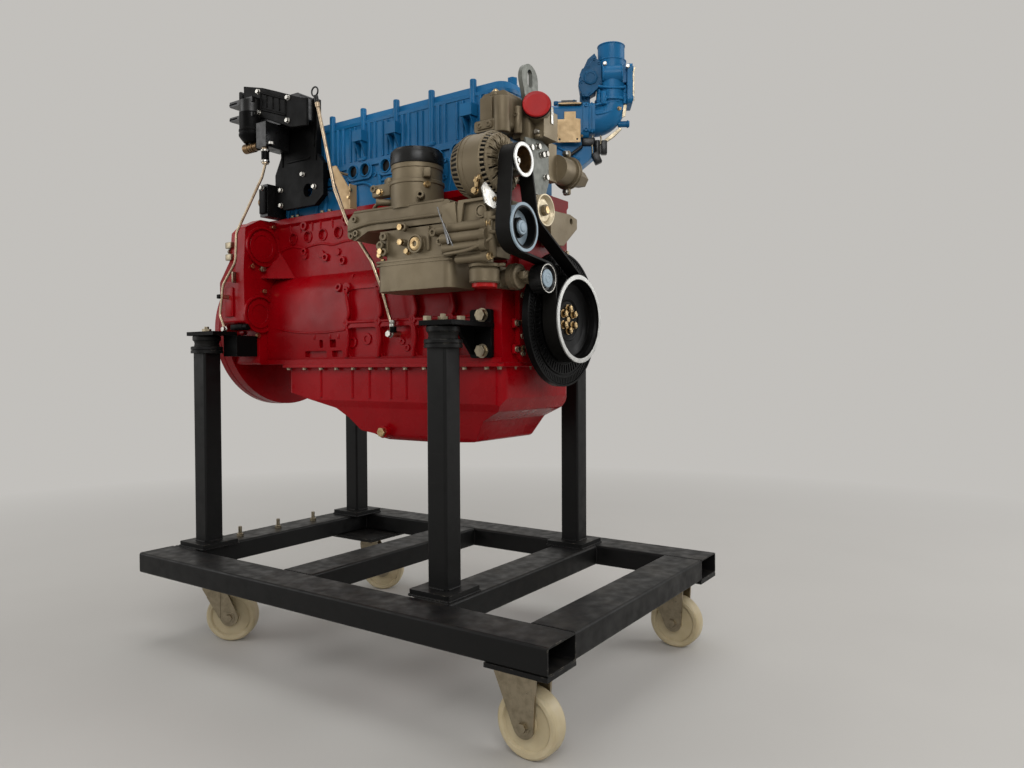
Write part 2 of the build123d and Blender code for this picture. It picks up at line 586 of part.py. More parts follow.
for rib_x in (-291.0, -157.0, -88.0, -4.0, 54.0):
    for rib_y in (-PAN_HALF, PAN_HALF):
        pan += cyl_z(rib_x, rib_y, 4.5, PAN_SHELF_Z + 14, PAN_UNDER)
pan += cyl_y(DRAIN_X, 640, 17, -162, -120)
save_engine("oil_pan", pan)

# Cylinder head with ports on the near side
head = box(HEAD_REAR_X, HEAD_FRONT_X, -HEAD_HALF, HEAD_HALF, DECK_Z, HEAD_TOP_Z)
head = fillet(head.edges().filter_by(Axis.Z), 30)
head += section_z(Pos((HEAD_REAR_X + HEAD_FRONT_X) / 2, 0) * RectangleRounded(
    HEAD_FRONT_X - HEAD_REAR_X - 12, 2 * HEAD_HALF + 14, 34), HEAD_TOP_Z - 12, HEAD_TOP_Z)
for index in range(CYLINDER_COUNT):
    mid = FIRST_CYLINDER_X - index * CYLINDER_PITCH
    boss = Pos(mid, PORT_Z - 4) * RectangleRounded(104, 46, 18)
    head += section_y(boss, -HEAD_HALF - 7, -HEAD_HALF)
    for dx in (-PORT_SPREAD / 2, PORT_SPREAD / 2):
        head -= cyl_y(mid + dx, PORT_Z, PORT_RADIUS, -HEAD_HALF - 9, -HEAD_HALF + 26)
save_engine("cylinder_head", head)

# Valve cover: walls, lid lip, flange, half round ribs, screw columns, side lugs
COVER_LID_Z = HEAD_TOP_Z + COVER_WALL_HEIGHT


def cover_outline(inset):
    length = COVER_FRONT_X - COVER_REAR_X - 2 * inset
    outline = Pos((COVER_FRONT_X + COVER_REAR_X) / 2, 0) * Rectangle(length, 2 * (COVER_HALF - inset))
    front = [v for v in outline.vertices() if v.X > 0]
    outline = fillet(front, COVER_FRONT_CORNER - inset)
    rear = [v for v in outline.vertices() if v.X < COVER_REAR_X + inset + 1]
    return fillet(rear, 22)


cover = section_z(cover_outline(2), HEAD_TOP_Z, COVER_LID_Z)
cover += section_z(cover_outline(0), COVER_LID_Z, COVER_LID_Z + 10)
top_plan = Plane.XY.offset(COVER_LID_Z + 10) * cover_outline(7)
cover += extrude(top_plan, COVER_TOP_Z - COVER_LID_Z - 10, taper=20)
cover += section_z(cover_outline(-5), HEAD_TOP_Z, HEAD_TOP_Z + 9)
LUG_Z = HEAD_TOP_Z + 61.0
COLUMN_XS = (-406.0, -275.0, -144.0, -13.0, 118.0, 262.0)
for column_x in COLUMN_XS:
    column = cyl_z(column_x, 0, 9, HEAD_TOP_Z, COVER_TOP_Z + 12)
    cover += Pos(0, -COVER_HALF + 2, 0) * column
    cover += Pos(0, COVER_HALF - 2, 0) * column
    for offset in (24, 46):
        rib = cyl_z(column_x + offset, 0, 6, HEAD_TOP_Z, COVER_LID_Z)
        cover += Pos(0, -COVER_HALF + 1, 0) * rib
        cover += Pos(0, COVER_HALF - 1, 0) * rib
for lug_x in (-144.0, -11.0, 258.0):
    lug = box(lug_x - 19, lug_x + 19, -COVER_HALF - 28, -COVER_HALF + 4, LUG_Z, LUG_Z + 32)
    fin = section_x(poly((-COVER_HALF + 4, LUG_Z + 2), (-COVER_HALF - 27, LUG_Z + 2), (-COVER_HALF + 4, LUG_Z - 52)), -2, 2)
    cover += lug
    cover += Pos(lug_x - 13, 0, 0) * fin
    cover += Pos(lug_x + 13, 0, 0) * fin
save_engine("valve_cover", cover)
filler = cyl_z(334, -46, 15, COVER_TOP_Z, COVER_TOP_Z + 6) + hex_z(334, -46, 24, COVER_TOP_Z + 6, COVER_TOP_Z + 26)
save_engine("filler_plug", filler)

# Intake, drawn along its own line: manifold on the head's far side, duct, flange pair, elbow, throttle
def save_intake(name, *solids):
    save_engine(name, *[intake_place * item for item in solids])


intake_place = Pos(THROTTLE_X, THROTTLE_Y, 0) * Rot(0, 0, INTAKE_TURN)
ELBOW_Z = THROTTLE_FOOT_Z - ELBOW_BEND
manifold = box(-480, 250, HEAD_HALF, HEAD_HALF + 66, HEAD_TOP_Z - 87, HEAD_TOP_Z - 14)
manifold = fillet(manifold.edges().filter_by(Axis.X), 14)
bend_face = Plane(origin=(0, 0, THROTTLE_FOOT_Z), x_dir=(1, 0, 0), z_dir=(0, 0, 1)) * Circle(ELBOW_RADIUS)
elbow = revolve(bend_face, Axis((-ELBOW_BEND, 0, THROTTLE_FOOT_Z), (0, 1, 0)), 90)
flanges = box(-87, -70, -48, 48, 1515, 1609) + box(-69.4, -51, -46, 46, 1517, 1607)
flanges = fillet(flanges.edges().filter_by(Axis.X), 12)
duct = box(-285, -69, -45, 45, 1505, 1602)
duct = fillet(duct.edges().filter_by(Axis.X), 16)
branch = section_y(
    poly((-180, 1508), (-62, 1508), (-47, 1458), (-93, 1420), (-200, 1400), (-285, 1348), (-285, 1508)), -30, 30)
duct_body = elbow + flanges + duct + branch
duct_body += cyl_x(0, 1554, 9, 20, 54) + cyl_x(0, 1554, 11, 47, 51)
duct_body = intake_place * duct_body + manifold
save_engine("intake_duct", duct_body)

THROTTLE_TOP_Z = THROTTLE_FOOT_Z + THROTTLE_HEIGHT
SHAFT_Z = 1700.0
throttle = cyl_z(0, 0, THROTTLE_RADIUS, THROTTLE_FOOT_Z, THROTTLE_TOP_Z)
throttle += cyl_z(0, 0, THROTTLE_RADIUS + 3, THROTTLE_FOOT_Z, THROTTLE_FOOT_Z + 8)
throttle += cyl_z(0, 0, SPIGOT_RADIUS, THROTTLE_TOP_Z, THROTTLE_TOP_Z + SPIGOT_LENGTH)
throttle += cyl_x(-26, 1694, 26, -29, 31)
throttle += box(-29, 31, -26, 0, 1668, 1720)
end_plate = section_x(Pos(0, 1663.5) * RectangleRounded(88, 117, 12), 44.5, 60)
throttle += end_plate + box(28, 46, -30, 30, 1668, 1720) + box(-45, -28, -26, 26, 1668, 1720)
throttle -= cyl_z(0, 0, THROTTLE_BORE, THROTTLE_FOOT_Z + 26, THROTTLE_TOP_Z + SPIGOT_LENGTH + 1)
save_intake("throttle_body", throttle)
motor_face = poly((-98, 1681), (-72, 1737), (-52, 1754), (-45, 1742), (-45, 1650), (-81, 1631), (-93, 1651))
motor = section_y(motor_face, -34, 30)
motor += section_y(Pos(-72, 1690) * RegularPolygon(24, 8), -40, -34)
motor += box(-94, -64, -20, 16, 1612, 1642)
save_intake("throttle_motor", motor)
flap = cyl_x(0, SHAFT_Z, 5, -THROTTLE_BORE + 0.4, THROTTLE_BORE - 0.4)
flap += cyl_z(0, 0, THROTTLE_BORE - 0.5, SHAFT_Z - 1.5, SHAFT_Z + 1.5)
save_intake("throttle_plate", flap)

# Zinc plated sheet brackets
gold_face = poly(
    (-173, 1540), (-173, 1522), (-166, 1520), (-166, 1488), (-94, 1488), (-94, 1556), (-108, 1558), (-108, 1578),
    (-142, 1578), (-142, 1556), (-173, 1556),
)
gold_plate = section_y(gold_face, -53, -50)
for hole_x in (-156.0, -104.0):
    gold_plate -= cyl_y(hole_x, 1497, 3, -54, -49)
gold_plate += box(-150, -110, -50, -45, 1520, 1550)
gold_plate = intake_place * gold_plate
gold_strip = intake_place * box(-159, -92, -49, 40, 1602, 1606)
hose_bracket = section_y(
    poly((-208, 1413), (-184, 1413), (-135, 1345), (-104, 1345), (-104, 1278), (-151, 1283)), -200, -196)
hose_bracket += box(-108, -104, -222, -196, 1278, 1345)
hose_bracket += box(-206, -192, -200, -HEAD_HALF - 7, 1398, 1402)
save_engine("zinc_brackets", gold_plate, gold_strip, hose_bracket)

# Oil module: block, gallery, filter bowl, and the cast arms that carry the alternator
MODULE_Y = (-285.0, -WALL_HALF)
module = box(72, 340, MODULE_Y[0], MODULE_Y[1], 1120, 1182)
module += box(96, 336, -285, -192, 1102, 1122)
gallery_face = poly((-46, 1178), (-18, 1166), (30, 1188), (300, 1184), (312, 1240), (-20, 1244), (-46, 1222))
gallery = section_y(gallery_face, -288, -196)
gallery = fillet(gallery.edges().filter_by(Axis.Y), 10)
module += gallery
module += box(-30, 60, -200, -WALL_HALF, 1190, 1236)
module += cyl_z(150, -225, 70, 1236, 1310) + cyl_z(150, -225, 66, 1310, 1352)
module += section_y(poly((296, 1104), (300, 1222), (340, 1226), (352, 1104)), -306, -176)
for bar_z, bar_y, bar_x0, bar_r in ((1163, -302, 284, 12), (1138, -306, 300, 13), (1114, -306, 306, 12), (1086, -300, 342, 11)):
    module += cyl_x(bar_y, bar_z, bar_r, bar_x0, 436)
module += section_y(poly((340, 1226), (436, 1226), (436, 1150), (424, 1092), (342, 1092), (342, 1160)), -292, -196)
for boss in ((161, 1183), (92, 1165), (80, 1144), (91, 1127), (161, 1145), (267, 1159), (289, 1135)):
    module += cyl_y(boss[0], boss[1], 9, -300, -280)
module += cyl_y(204, 1138, 21, -296, -280)
module -= cyl_y(204, 1138, 13, -297, -290)
save_engine("oil_module", module)
cap = cyl_z(150, -225, 68, 1352, 1386) + cyl_z(150, -225, 62, 1386, 1393) + hex_z(150, -225, 30, 1393, 1405)
save_engine("filter_cap", cap)

cooler = section_z(Pos(195, -243.5) * RectangleRounded(254, 113, 26), 1022, 1102)
for lip_z in (1088, 1097):
    cooler += section_z(Pos(195, -243.5) * RectangleRounded(258, 115, 12), lip_z, lip_z + 5)
save_engine("oil_cooler", cooler)

# Alternator: hollow slotted housing round its rotor
alt_y, alt_z, alt_r = ALTERNATOR
shell = spun_x([
    (ALTERNATOR_REAR_X, 20), (ALTERNATOR_REAR_X, 58), (ALTERNATOR_REAR_X + 12, 70), (374, ALTERNATOR_BODY_RADIUS),
    (430, ALTERNATOR_BODY_RADIUS), (452, 70), (ALTERNATOR_FRONT_X, 58), (ALTERNATOR_FRONT_X, 15.05),
    (452, 15.05), (452, 52), (444, 60), (428, 67), (376, 67), (362, 60), (352, 50), (352, 20)],
    alt_y, alt_z)
shell += cyl_x(alt_y, alt_z, 24, ALTERNATOR_REAR_X, ALTERNATOR_REAR_X + 8)
foot = box(374, 430, alt_y - 14, alt_y + 48, 1226, 1262) - cyl_x(alt_y, alt_z, 70, 370, 434)
shell += foot
slot = box(436, 462, -3, 3, 34, 66)
rear_slot = box(340, 366, -3, 3, 34, 66)
for step in range(16):
    turn = Rot(step * 22.5, 0, 0)
    shell -= Pos(0, alt_y, alt_z) * turn * slot
    shell -= Pos(0, alt_y, alt_z) * turn * rear_slot
save_engine("alternator_housing", shell)
rotor = spun_x([
    (358, 0), (358, 40), (364, 56), (424, 56), (432, 44), (440, 44), (440, 15), (ALTERNATOR_FRONT_X + 6, 15),
    (ALTERNATOR_FRONT_X + 6, 0)], alt_y, alt_z)
save_engine("alternator_rotor", rotor)
alt_pulley = spun_x([
    (ALTERNATOR_FRONT_X + 6, 0), (ALTERNATOR_FRONT_X + 6, 39.5), (BELT_REAR_X - 0.5, 39.5), (BELT_REAR_X - 0.5, alt_r),
    (BELT_REAR_X + BELT_WIDTH + 1, alt_r), (BELT_REAR_X + BELT_WIDTH + 1, 39.5), (PULLEY_FRONT_X - 1, 39.5),
    (PULLEY_FRONT_X - 1, 31), (BELT_REAR_X + 12, 27), (BELT_REAR_X + 12, 0)], alt_y, alt_z)
alt_pulley += hex_x(alt_y, alt_z, 22, BELT_REAR_X + 12, BELT_REAR_X + 24)
save_engine("alternator_pulley", alt_pulley)

EYE_FOOT_Z = 1472.0
EYE_X = 430.0
EYE_THICKNESS = 12.0

# Coolant outlet at the front of the head, its neck, and the lower coolant tube
outlet = box(346, 428, -206, -HEAD_HALF - 7, 1412, 1508)
outlet = fillet(outlet.edges().filter_by(Axis.Y), 16)
outlet += section_y(Pos(372, 1424) * RectangleRounded(70, 28, 6), -222, -HEAD_HALF - 7)
outlet += cyl_y(388, 1460, 38, -214, -HEAD_HALF - 7)
outlet += box(404, 446, -150, -62, 1402, EYE_FOOT_Z)
outlet += box(446, 484, -128, -62, 1402, EYE_FOOT_Z)
neck_dir = (0.51, -0.83, 0.22)
neck_plane = Plane(origin=(456.5, -118, 1469), z_dir=neck_dir)
outlet += extrude(neck_plane * Circle(33), 34)
outlet += extrude(neck_plane.offset(26) * Circle(36), 5)
outlet -= box(EYE_X - 0.3, EYE_X + EYE_THICKNESS + 0.3, -170, -60, EYE_FOOT_Z, EYE_FOOT_Z + 60)
save_engine("coolant_outlet", outlet)
red_cap = extrude(neck_plane.offset(34) * Circle(34.5), 5)
tube_y = -262.0
tube_x = 396.0
lower_tube = spun_z([
    (0, 1028), (35, 1028), (37, 1032), (37, 1060), (33, 1066), (22, 1074), (22, 1092), (0, 1092)], tube_x, tube_y)
save_engine("coolant_tube", lower_tube)
lower_cap = cyl_z(tube_x, tube_y, 31, 1018, 1028)
save_engine("transport_caps", red_cap, lower_cap)

# Tensioner body, coolant pump body and the two outlets on the far side of the front
tens_y, tens_z = TENSIONER_PIVOT
spring_case = cyl_x(tens_y, tens_z, 32, 436, 452)
spring_case += box(BLOCK_FRONT_X, BLOCK_FRONT_X + 20, tens_y - 16, -128, tens_z - 26, tens_z + 26)
spring_case += cyl_x(tens_y, tens_z, 20, BLOCK_FRONT_X + 18, 436)
pump_body = cyl_x(PUMP[0], PUMP[1], 40, 436, 458) + cyl_x(PUMP[0], PUMP[1], 16, 458, 471.7)
upper_outlet = box(436, 456, -60, -20, 1310, 1408)
upper_outlet += box(HEAD_FRONT_X, 440, -60, -20, 1320, 1400)
upper_outlet += cyl_y(452, 1348, 36, -20, 46)
upper_outlet += cyl_y(452, 1348, 42, 34, 44)
upper_outlet += Pos(452, 44, 1344) * Rot(-90, 0, 0) * extrude(RegularPolygon(31, 6), 78, taper=6)
lower_outlet = section_x(poly((-40, 1236), (60, 1240), (98, 1232), (98, 1206), (24, 1150), (-40, 1146)), 420, 450)
lower_outlet += box(BLOCK_FRONT_X, 424, -60, 20, 1166, 1236)
lower_outlet = lower_outlet - cyl_x(66, 1222, 8, 410, 460)
save_engine("side_outlets", upper_outlet, lower_outlet)

# Grey steel front plate and the lifting eye
plate_face = poly((-172, 1394), (-92, 1402), (-62, 1390), (-62, 1300), (-80, 1262), (-128, 1262), (-150, 1300))
front_steel = section_x(plate_face, 452, 457)
front_steel = front_steel + box(HEAD_FRONT_X, 452, -116, -80, 1304, 1386)
eye_face = make_hull(
    (Pos(-126, 1552) * Circle(37)).edges() + (Pos(-112, EYE_FOOT_Z + 4) * Rectangle(50, 8)).edges())
eye = section_x(eye_face, EYE_X, EYE_X + EYE_THICKNESS)
eye -= section_x(Pos(-126, 1553) * SlotOverall(46, 22, rotation=90), 428, 444)
save_engine("front_plates", front_steel, eye)

# Crankshaft, flywheel, damper and crank pulley
crank = spun_x([
    (-650, 0), (-650, 56), (-626, 56), (-626, SHAFT_RADIUS), (396, SHAFT_RADIUS), (396, NOSE_RADIUS), (DAMPER_REAR_X, NOSE_RADIUS),
    (DAMPER_REAR_X, 0)], 0, CRANK_Z)
save_engine("crankshaft", crank)
flywheel = spun_x([
    (FLYWHEEL_REAR_X, 22), (FLYWHEEL_REAR_X, 60), (-668, 64), (-668, 110), (FLYWHEEL_REAR_X, 114),
    (FLYWHEEL_REAR_X, FLYWHEEL_RADIUS - 8), (-676, FLYWHEEL_RADIUS - 8), (-676, FLYWHEEL_RADIUS),
    (-656, FLYWHEEL_RADIUS), (-656, FLYWHEEL_RADIUS - 8), (FLYWHEEL_FRONT_X, 196), (FLYWHEEL_FRONT_X, 22)], 0, CRANK_Z)
for dy, dz in ring_points(8, 140):
    flywheel -= cyl_x(dy, CRANK_Z + dz, 5, FLYWHEEL_REAR_X, FLYWHEEL_REAR_X + 18)
save_engine("flywheel", flywheel)
fly_bolts = [hex_x(dy, CRANK_Z + dz, 19, FLYWHEEL_REAR_X - 8, FLYWHEEL_REAR_X) for dy, dz in ring_points(8, 41)]

damper = spun_x([
    (DAMPER_REAR_X, 0), (DAMPER_REAR_X, DAMPER_RADIUS - 2), (DAMPER_REAR_X + 2, DAMPER_RADIUS),
    (DAMPER_FRONT_X, DAMPER_RADIUS), (DAMPER_FRONT_X, DAMPER_RADIUS - 5), (DAMPER_FRONT_X - 4, DAMPER_RADIUS - 6),
    (DAMPER_FRONT_X - 4, 74), (DAMPER_FRONT_X, 70), (DAMPER_FRONT_X, 0)], 0, CRANK_Z)
slot_ring = Circle(146) - Circle(117)
slot_ring -= [Rot(0, 0, i * 360 / DAMPER_SLOTS) * Pos(131.25, 0) * Rectangle(22.5, 6.4) for i in range(DAMPER_SLOTS)]
tooth_ring = Circle(DAMPER_RADIUS - 7) - Circle(151)
tooth_ring -= [Rot(0, 0, i * 360 / DAMPER_TEETH) * Pos(162, 0) * Rectangle(15, 3.6) for i in range(DAMPER_TEETH)]
damper += Pos(0, 0, CRANK_Z) * section_x(slot_ring, DAMPER_FRONT_X - 4, DAMPER_FRONT_X - 0.5)
damper += Pos(0, 0, CRANK_Z) * section_x(tooth_ring, DAMPER_FRONT_X - 4, DAMPER_FRONT_X - 1.5)
save_engine("damper", damper)

rim = PULLEY_RIM_RADIUS
groove = PULLEY_GROOVE_RADIUS
cup = groove - PULLEY_WALL
pulley = spun_x([
    (DAMPER_FRONT_X, 0), (DAMPER_FRONT_X, groove), (BELT_REAR_X + BELT_WIDTH + 1, groove),
    (BELT_REAR_X + BELT_WIDTH + 2, rim), (PULLEY_FRONT_X, rim), (PULLEY_FRONT_X, rim - 12), (PULLEY_FRONT_X - 5, cup + 3),
    (PULLEY_FRONT_X - 12, cup), (PULLEY_HUB_X + 10, cup - 4), (PULLEY_HUB_X + 5, 76), (PULLEY_HUB_X + 2, 52),
    (PULLEY_HUB_X, 48), (PULLEY_HUB_X, 0)], 0, CRANK_Z)
save_engine("crank_pulley", pulley)
hub_bolts = [hex_x(dy, CRANK_Z + dz, 16, PULLEY_HUB_X, PULLEY_HUB_X + 12)
             for dy, dz in ring_points(HUB_BOLT_COUNT, HUB_BOLT_CIRCLE_RADIUS, math.pi / 2)]
save_engine("crank_bolts", *(hub_bolts + fly_bolts))

# Driven pulleys
pump_y, pump_z, pump_r = PUMP
pump_pulley = spun_x([
    (472, 0), (472, 30), (BELT_REAR_X + 4, 44), (BELT_REAR_X - 1, 48), (BELT_REAR_X - 1, pump_r), (BELT_REAR_X + BELT_WIDTH + 1, pump_r),
    (BELT_REAR_X + BELT_WIDTH + 1, pump_r + 3), (PULLEY_FRONT_X - 2, pump_r + 3), (PULLEY_FRONT_X - 2, 46),
    (480, 43), (480, 22), (500, 20), (500, 0)], pump_y, pump_z)
pump_pulley += cyl_x(pump_y, pump_z, 13, 500, 506)
save_engine("pump_pulley", pump_pulley)
disc_y, disc_z, disc_r = DISC_IDLER
disc_pulley = spun_x([
    (BELT_REAR_X, 10.1), (BELT_REAR_X, disc_r), (BELT_REAR_X + BELT_WIDTH, disc_r), (BELT_REAR_X + BELT_WIDTH, disc_r - 3),
    (BELT_REAR_X + 30, disc_r - 8), (BELT_REAR_X + 30, 10.1)], disc_y, disc_z)
save_engine("disc_idler", disc_pulley)
ten_y, ten_z, ten_r = TENSIONER
roller = spun_x([
    (ROLLER_REAR_X, 10.1), (ROLLER_REAR_X, ten_r), (BELT_REAR_X + BELT_WIDTH, ten_r),
    (BELT_REAR_X + BELT_WIDTH, ten_r - 4), (BELT_REAR_X + 32, ten_r - 8), (BELT_REAR_X + 32, 10.1)], ten_y, ten_z)
save_engine("tensioner_roller", roller)
# The arm's thick end stays outside the damper, and a thin tongue runs in front of it to the roller
tongue = make_hull((Pos(tens_y + 12, tens_z) * Circle(15)).edges() + (Pos(ten_y, ten_z) * Circle(18)).edges())
clear_disc = Pos(0, CRANK_Z) * Circle(DAMPER_RADIUS + DAMPER_CLEARANCE)
arm = cyl_x(tens_y, tens_z, 30, 452.3, 459) + cyl_x(tens_y, tens_z, 11, 459, 465)
arm += section_x(tongue - clear_disc, 452.3, ROLLER_REAR_X - 1)
arm += section_x(tongue, DAMPER_FRONT_X + 1.2, ROLLER_REAR_X - 1)
arm += cyl_x(ten_y, ten_z, 10, ROLLER_REAR_X - 1, BELT_REAR_X + 34) + cyl_x(ten_y, ten_z, 22, BELT_REAR_X + 34, BELT_REAR_X + 38)
save_engine("tensioner_arm", arm)
idler_post = cyl_x(disc_y, disc_z, 16, 430, 466) + cyl_x(disc_y, disc_z, 10, 466, BELT_REAR_X + 32)
idler_post += hex_x(disc_y, disc_z, 24, BELT_REAR_X + 32, BELT_REAR_X + 42)
idler_post += box(BLOCK_FRONT_X, 434, -196, -110, 1180, 1236)
save_engine("pump_housings", spring_case, pump_body, idler_post)


# Ribbed belt: tangent runs and arcs round the five pulleys
def tangent(first, second):
    y1, z1, r1, s1 = first
    y2, z2, r2, s2 = second
    dy = y2 - y1
    dz = z2 - z1
    reach = math.hypot(dy, dz)
    angle = math.atan2(dz, dy) - math.asin((s2 * r2 - s1 * r1) / reach)
    ny = -math.sin(angle)
    nz = math.cos(angle)
    return (y1 - s1 * r1 * ny, z1 - s1 * r1 * nz), (y2 - s2 * r2 * ny, z2 - s2 * r2 * nz)


def belt_loop(inner_offset, outer_offset):
    wheels = []
    for y, z, r, side in (
        (0.0, CRANK_Z, PULLEY_GROOVE_RADIUS, 1),
        (disc_y, disc_z, disc_r, -1),
        (alt_y, alt_z, alt_r, 1),
        (pump_y, pump_z, pump_r, 1),
        (ten_y, ten_z, ten_r, -1),
    ):
        wheels.append((y, z, r + (inner_offset if side > 0 else outer_offset), side))
    count = len(wheels)
    runs = [tangent(wheels[i], wheels[(i + 1) % count]) for i in range(count)]
    edges = []
    for i in range(count):
        y, z, r, side = wheels[i]
        start = runs[i - 1][1]
        end = runs[i][0]
        a0 = math.atan2(start[1] - z, start[0] - y)
        a1 = math.atan2(end[1] - z, end[0] - y)
        sweep = (a1 - a0) % (2 * math.pi) if side > 0 else -((a0 - a1) % (2 * math.pi))
        mid = a0 + sweep / 2
        edges.append(ThreePointArc(start, (y + r * math.cos(mid), z + r * math.sin(mid)), end))
        edges.append(Line(runs[i][0], runs[i][1]))
    return make_face(edges)


outer_loop = belt_loop(BELT_PLAY + BELT_THICKNESS, BELT_PLAY)
inner_loop = belt_loop(BELT_PLAY, BELT_PLAY + BELT_THICKNESS)
belt = section_x(outer_loop - inner_loop, BELT_REAR_X + 0.5, BELT_REAR_X + BELT_WIDTH)
save_engine("drive_belt", belt)

# Black bracket and gas filter module over the rear of the head
module_side = poly(
    (-480, 1345), (-480, 1430), (-452, 1480), (-452, 1590), (-590, 1640), (-590, 1700), (-540, 1696),
    (-288, 1634), (-288, 1470), (-262, 1440), (-262, 1345), (-300, 1318), (-440, 1318),
)
module_bracket = section_y(module_side, -178, -160)
module_bracket -= section_y(Pos(-330, 1365) * Circle(20), -180, -158)
module_bracket += section_y(poly((-480, 1340), (-480, 1420), (-440, 1420), (-440, 1340)), -160, -HEAD_HALF - 7)
module_bracket += section_y(poly((-330, 1400), (-330, 1424), (-270, 1424), (-270, 1400)), -160, -HEAD_HALF - 7)
save_engine("module_bracket", module_bracket)
filter_body = box(-560, -300, -232, -178, 1560, 1640)
filter_body = fillet(filter_body.edges().filter_by(Axis.Y), 10)
filter_body += box(-590, -480, -262, -200, 1640, 1656) + box(-590, -480, -262, -200, 1596, 1608)
filter_body += spun_z([(0, 1526), (24, 1526), (36, 1540), (38, 1560), (38, 1650), (0, 1650)], -515, -236)
filter_body += cyl_z(-515, -236, 12, 1500, 1526)
filter_body += cyl_x(-236, 1510, 12.5, -545, -485)
filter_body += box(-444, -400, -276, -190, 1488, 1562)
save_engine("filter_module", filter_body)
sensor = box(-520, -484, -206, -HEAD_HALF, 1300, 1400)
sensor += cyl_x(-176, 1352, 16, -548, -520)
duct_sensor = box(-150, -104, -16, 16, 1606, 1624)
save_engine("sensor_block", sensor, intake_place * duct_sensor)


# Rigid pipes
def pipe(points, radius, radii):
    path = FilletPolyline(*points, radius=radii)
    start = Plane(origin=path @ 0, z_dir=path % 0)
    return sweep(start * Circle(radius), path=path)


DIP_POINTS = [
    (-227, -230, 1594), (-156, -230, 1333), (-106, -232, 1236), (-20, -222, 1118), (8, -212, 1040),
    (34, -206, 951), (30, -200, 925),
]
dip_tube = pipe(DIP_POINTS, 5.0, [60, 60, 60, 60, 14])
dip_tube += cyl_y(30, 918, 9, -204, -SKIRT_HALF)
dip_start = Vector(*DIP_POINTS[0])
dip_dir = (dip_start - Vector(*DIP_POINTS[1])).normalized()
dip_plane = Plane(origin=dip_start, z_dir=dip_dir)
dip_tube -= extrude(dip_plane * Circle(DIP_BORE), -DIP_BLADE - 4)
dip_tube += extrude(dip_plane.offset(-14) * (Circle(7) - Circle(5)), 14)
VENT_POINTS = [
    (-421, -262, 1440), (-433, -265, 1402), (-509, -302, 1237), (-515, -302, 1149), (-581, -300, 1083),
    (-598, -300, 990), (-574, -300, 946),
]
vent_tube = pipe(VENT_POINTS, 4.0, [20, 60, 40, 40, 20])
vent_tube += cyl_z(-421, -262, 10, 1440, 1488)
vent_tube += box(-599, -586, -306, -269.6, 1042, 1054)
save_engine("rigid_pipes", dip_tube, vent_tube)

handle = extrude(dip_plane * Circle(7), 22)
handle += extrude(dip_plane * Circle(DIP_BORE - 0.2), -DIP_BLADE)
loop_centre = dip_start + dip_dir * 36
handle += Pos(loop_centre) * Rot(90, 0, 0) * Torus(13, 2.4)
save_engine("dipstick", handle)

# Bolts on the engine, drain plug included
engine_bolts = []
for bolt_y, bolt_z in ((-158, 1275), (-240, 1142), (-205, 1136), (-196, 1068), (-222, 928)):
    engine_bolts.append(hex_x(bolt_y, bolt_z, 13, GEAR_FRONT_X, GEAR_FRONT_X + 8))
engine_bolts.append(hex_y(DRAIN_X, 640, 24, -172, -162))
for bolt_z in (874, 941, 1040, 1110):
    engine_bolts.append(hex_x(-114, bolt_z, 13, BLOCK_FRONT_X + 14, BLOCK_FRONT_X + 20))
for bolt_x, bolt_z in ((91, 1127), (161, 1145), (161, 1183)):
    engine_bolts.append(hex_y(bolt_x, bolt_z, 15, -309, -300))
save_engine("engine_bolts", *engine_bolts)
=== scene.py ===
"""Looks of a hydrogen engine on a wheeled stand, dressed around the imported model."""

import json
import logging
import math
from dataclasses import dataclass
from enum import Enum
from typing import Iterable, Sequence

import bmesh
import bpy
from mathutils import Euler, Matrix, Vector

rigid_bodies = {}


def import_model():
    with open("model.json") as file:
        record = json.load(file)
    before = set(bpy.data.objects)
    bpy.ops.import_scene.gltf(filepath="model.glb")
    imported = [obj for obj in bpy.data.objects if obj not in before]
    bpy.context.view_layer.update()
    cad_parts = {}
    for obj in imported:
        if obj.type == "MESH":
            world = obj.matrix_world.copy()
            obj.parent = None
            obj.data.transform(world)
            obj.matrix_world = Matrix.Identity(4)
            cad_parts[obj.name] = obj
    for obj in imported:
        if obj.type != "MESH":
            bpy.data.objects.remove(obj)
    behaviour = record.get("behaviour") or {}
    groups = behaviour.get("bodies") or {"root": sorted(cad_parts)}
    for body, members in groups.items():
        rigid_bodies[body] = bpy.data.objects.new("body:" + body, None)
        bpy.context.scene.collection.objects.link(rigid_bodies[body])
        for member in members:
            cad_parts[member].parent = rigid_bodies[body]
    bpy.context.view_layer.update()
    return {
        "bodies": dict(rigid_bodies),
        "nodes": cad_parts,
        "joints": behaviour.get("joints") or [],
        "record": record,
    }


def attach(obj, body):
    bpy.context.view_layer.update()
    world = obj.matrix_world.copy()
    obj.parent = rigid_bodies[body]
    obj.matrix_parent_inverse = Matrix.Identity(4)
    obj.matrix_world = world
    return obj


log = logging.getLogger("engine")

Colour = tuple[float, float, float]
Point = tuple[float, float, float]
Seat = tuple[Point, Point]
Outline = Sequence[tuple[float, float]]


def srgb(red: int, green: int, blue: int) -> Colour:
    """Turn a colour written in screen values into linear light.

    Args:
        red: red, 0 to 255.
        green: green, 0 to 255.
        blue: blue, 0 to 255.

    Returns:
        The three linear values.
    """
    def line(value: float) -> float:
        """Straighten one channel."""
        share = value / 255.0
        return share / 12.92 if share <= 0.04045 else ((share + 0.055) / 1.055) ** 2.4

    return (line(red), line(green), line(blue))


BEVEL_SAMPLES = 4
CAST_DUST = srgb(132, 124, 110)
TUBE_DUST = srgb(112, 104, 92)
PLASTIC_DUST = srgb(140, 132, 118)


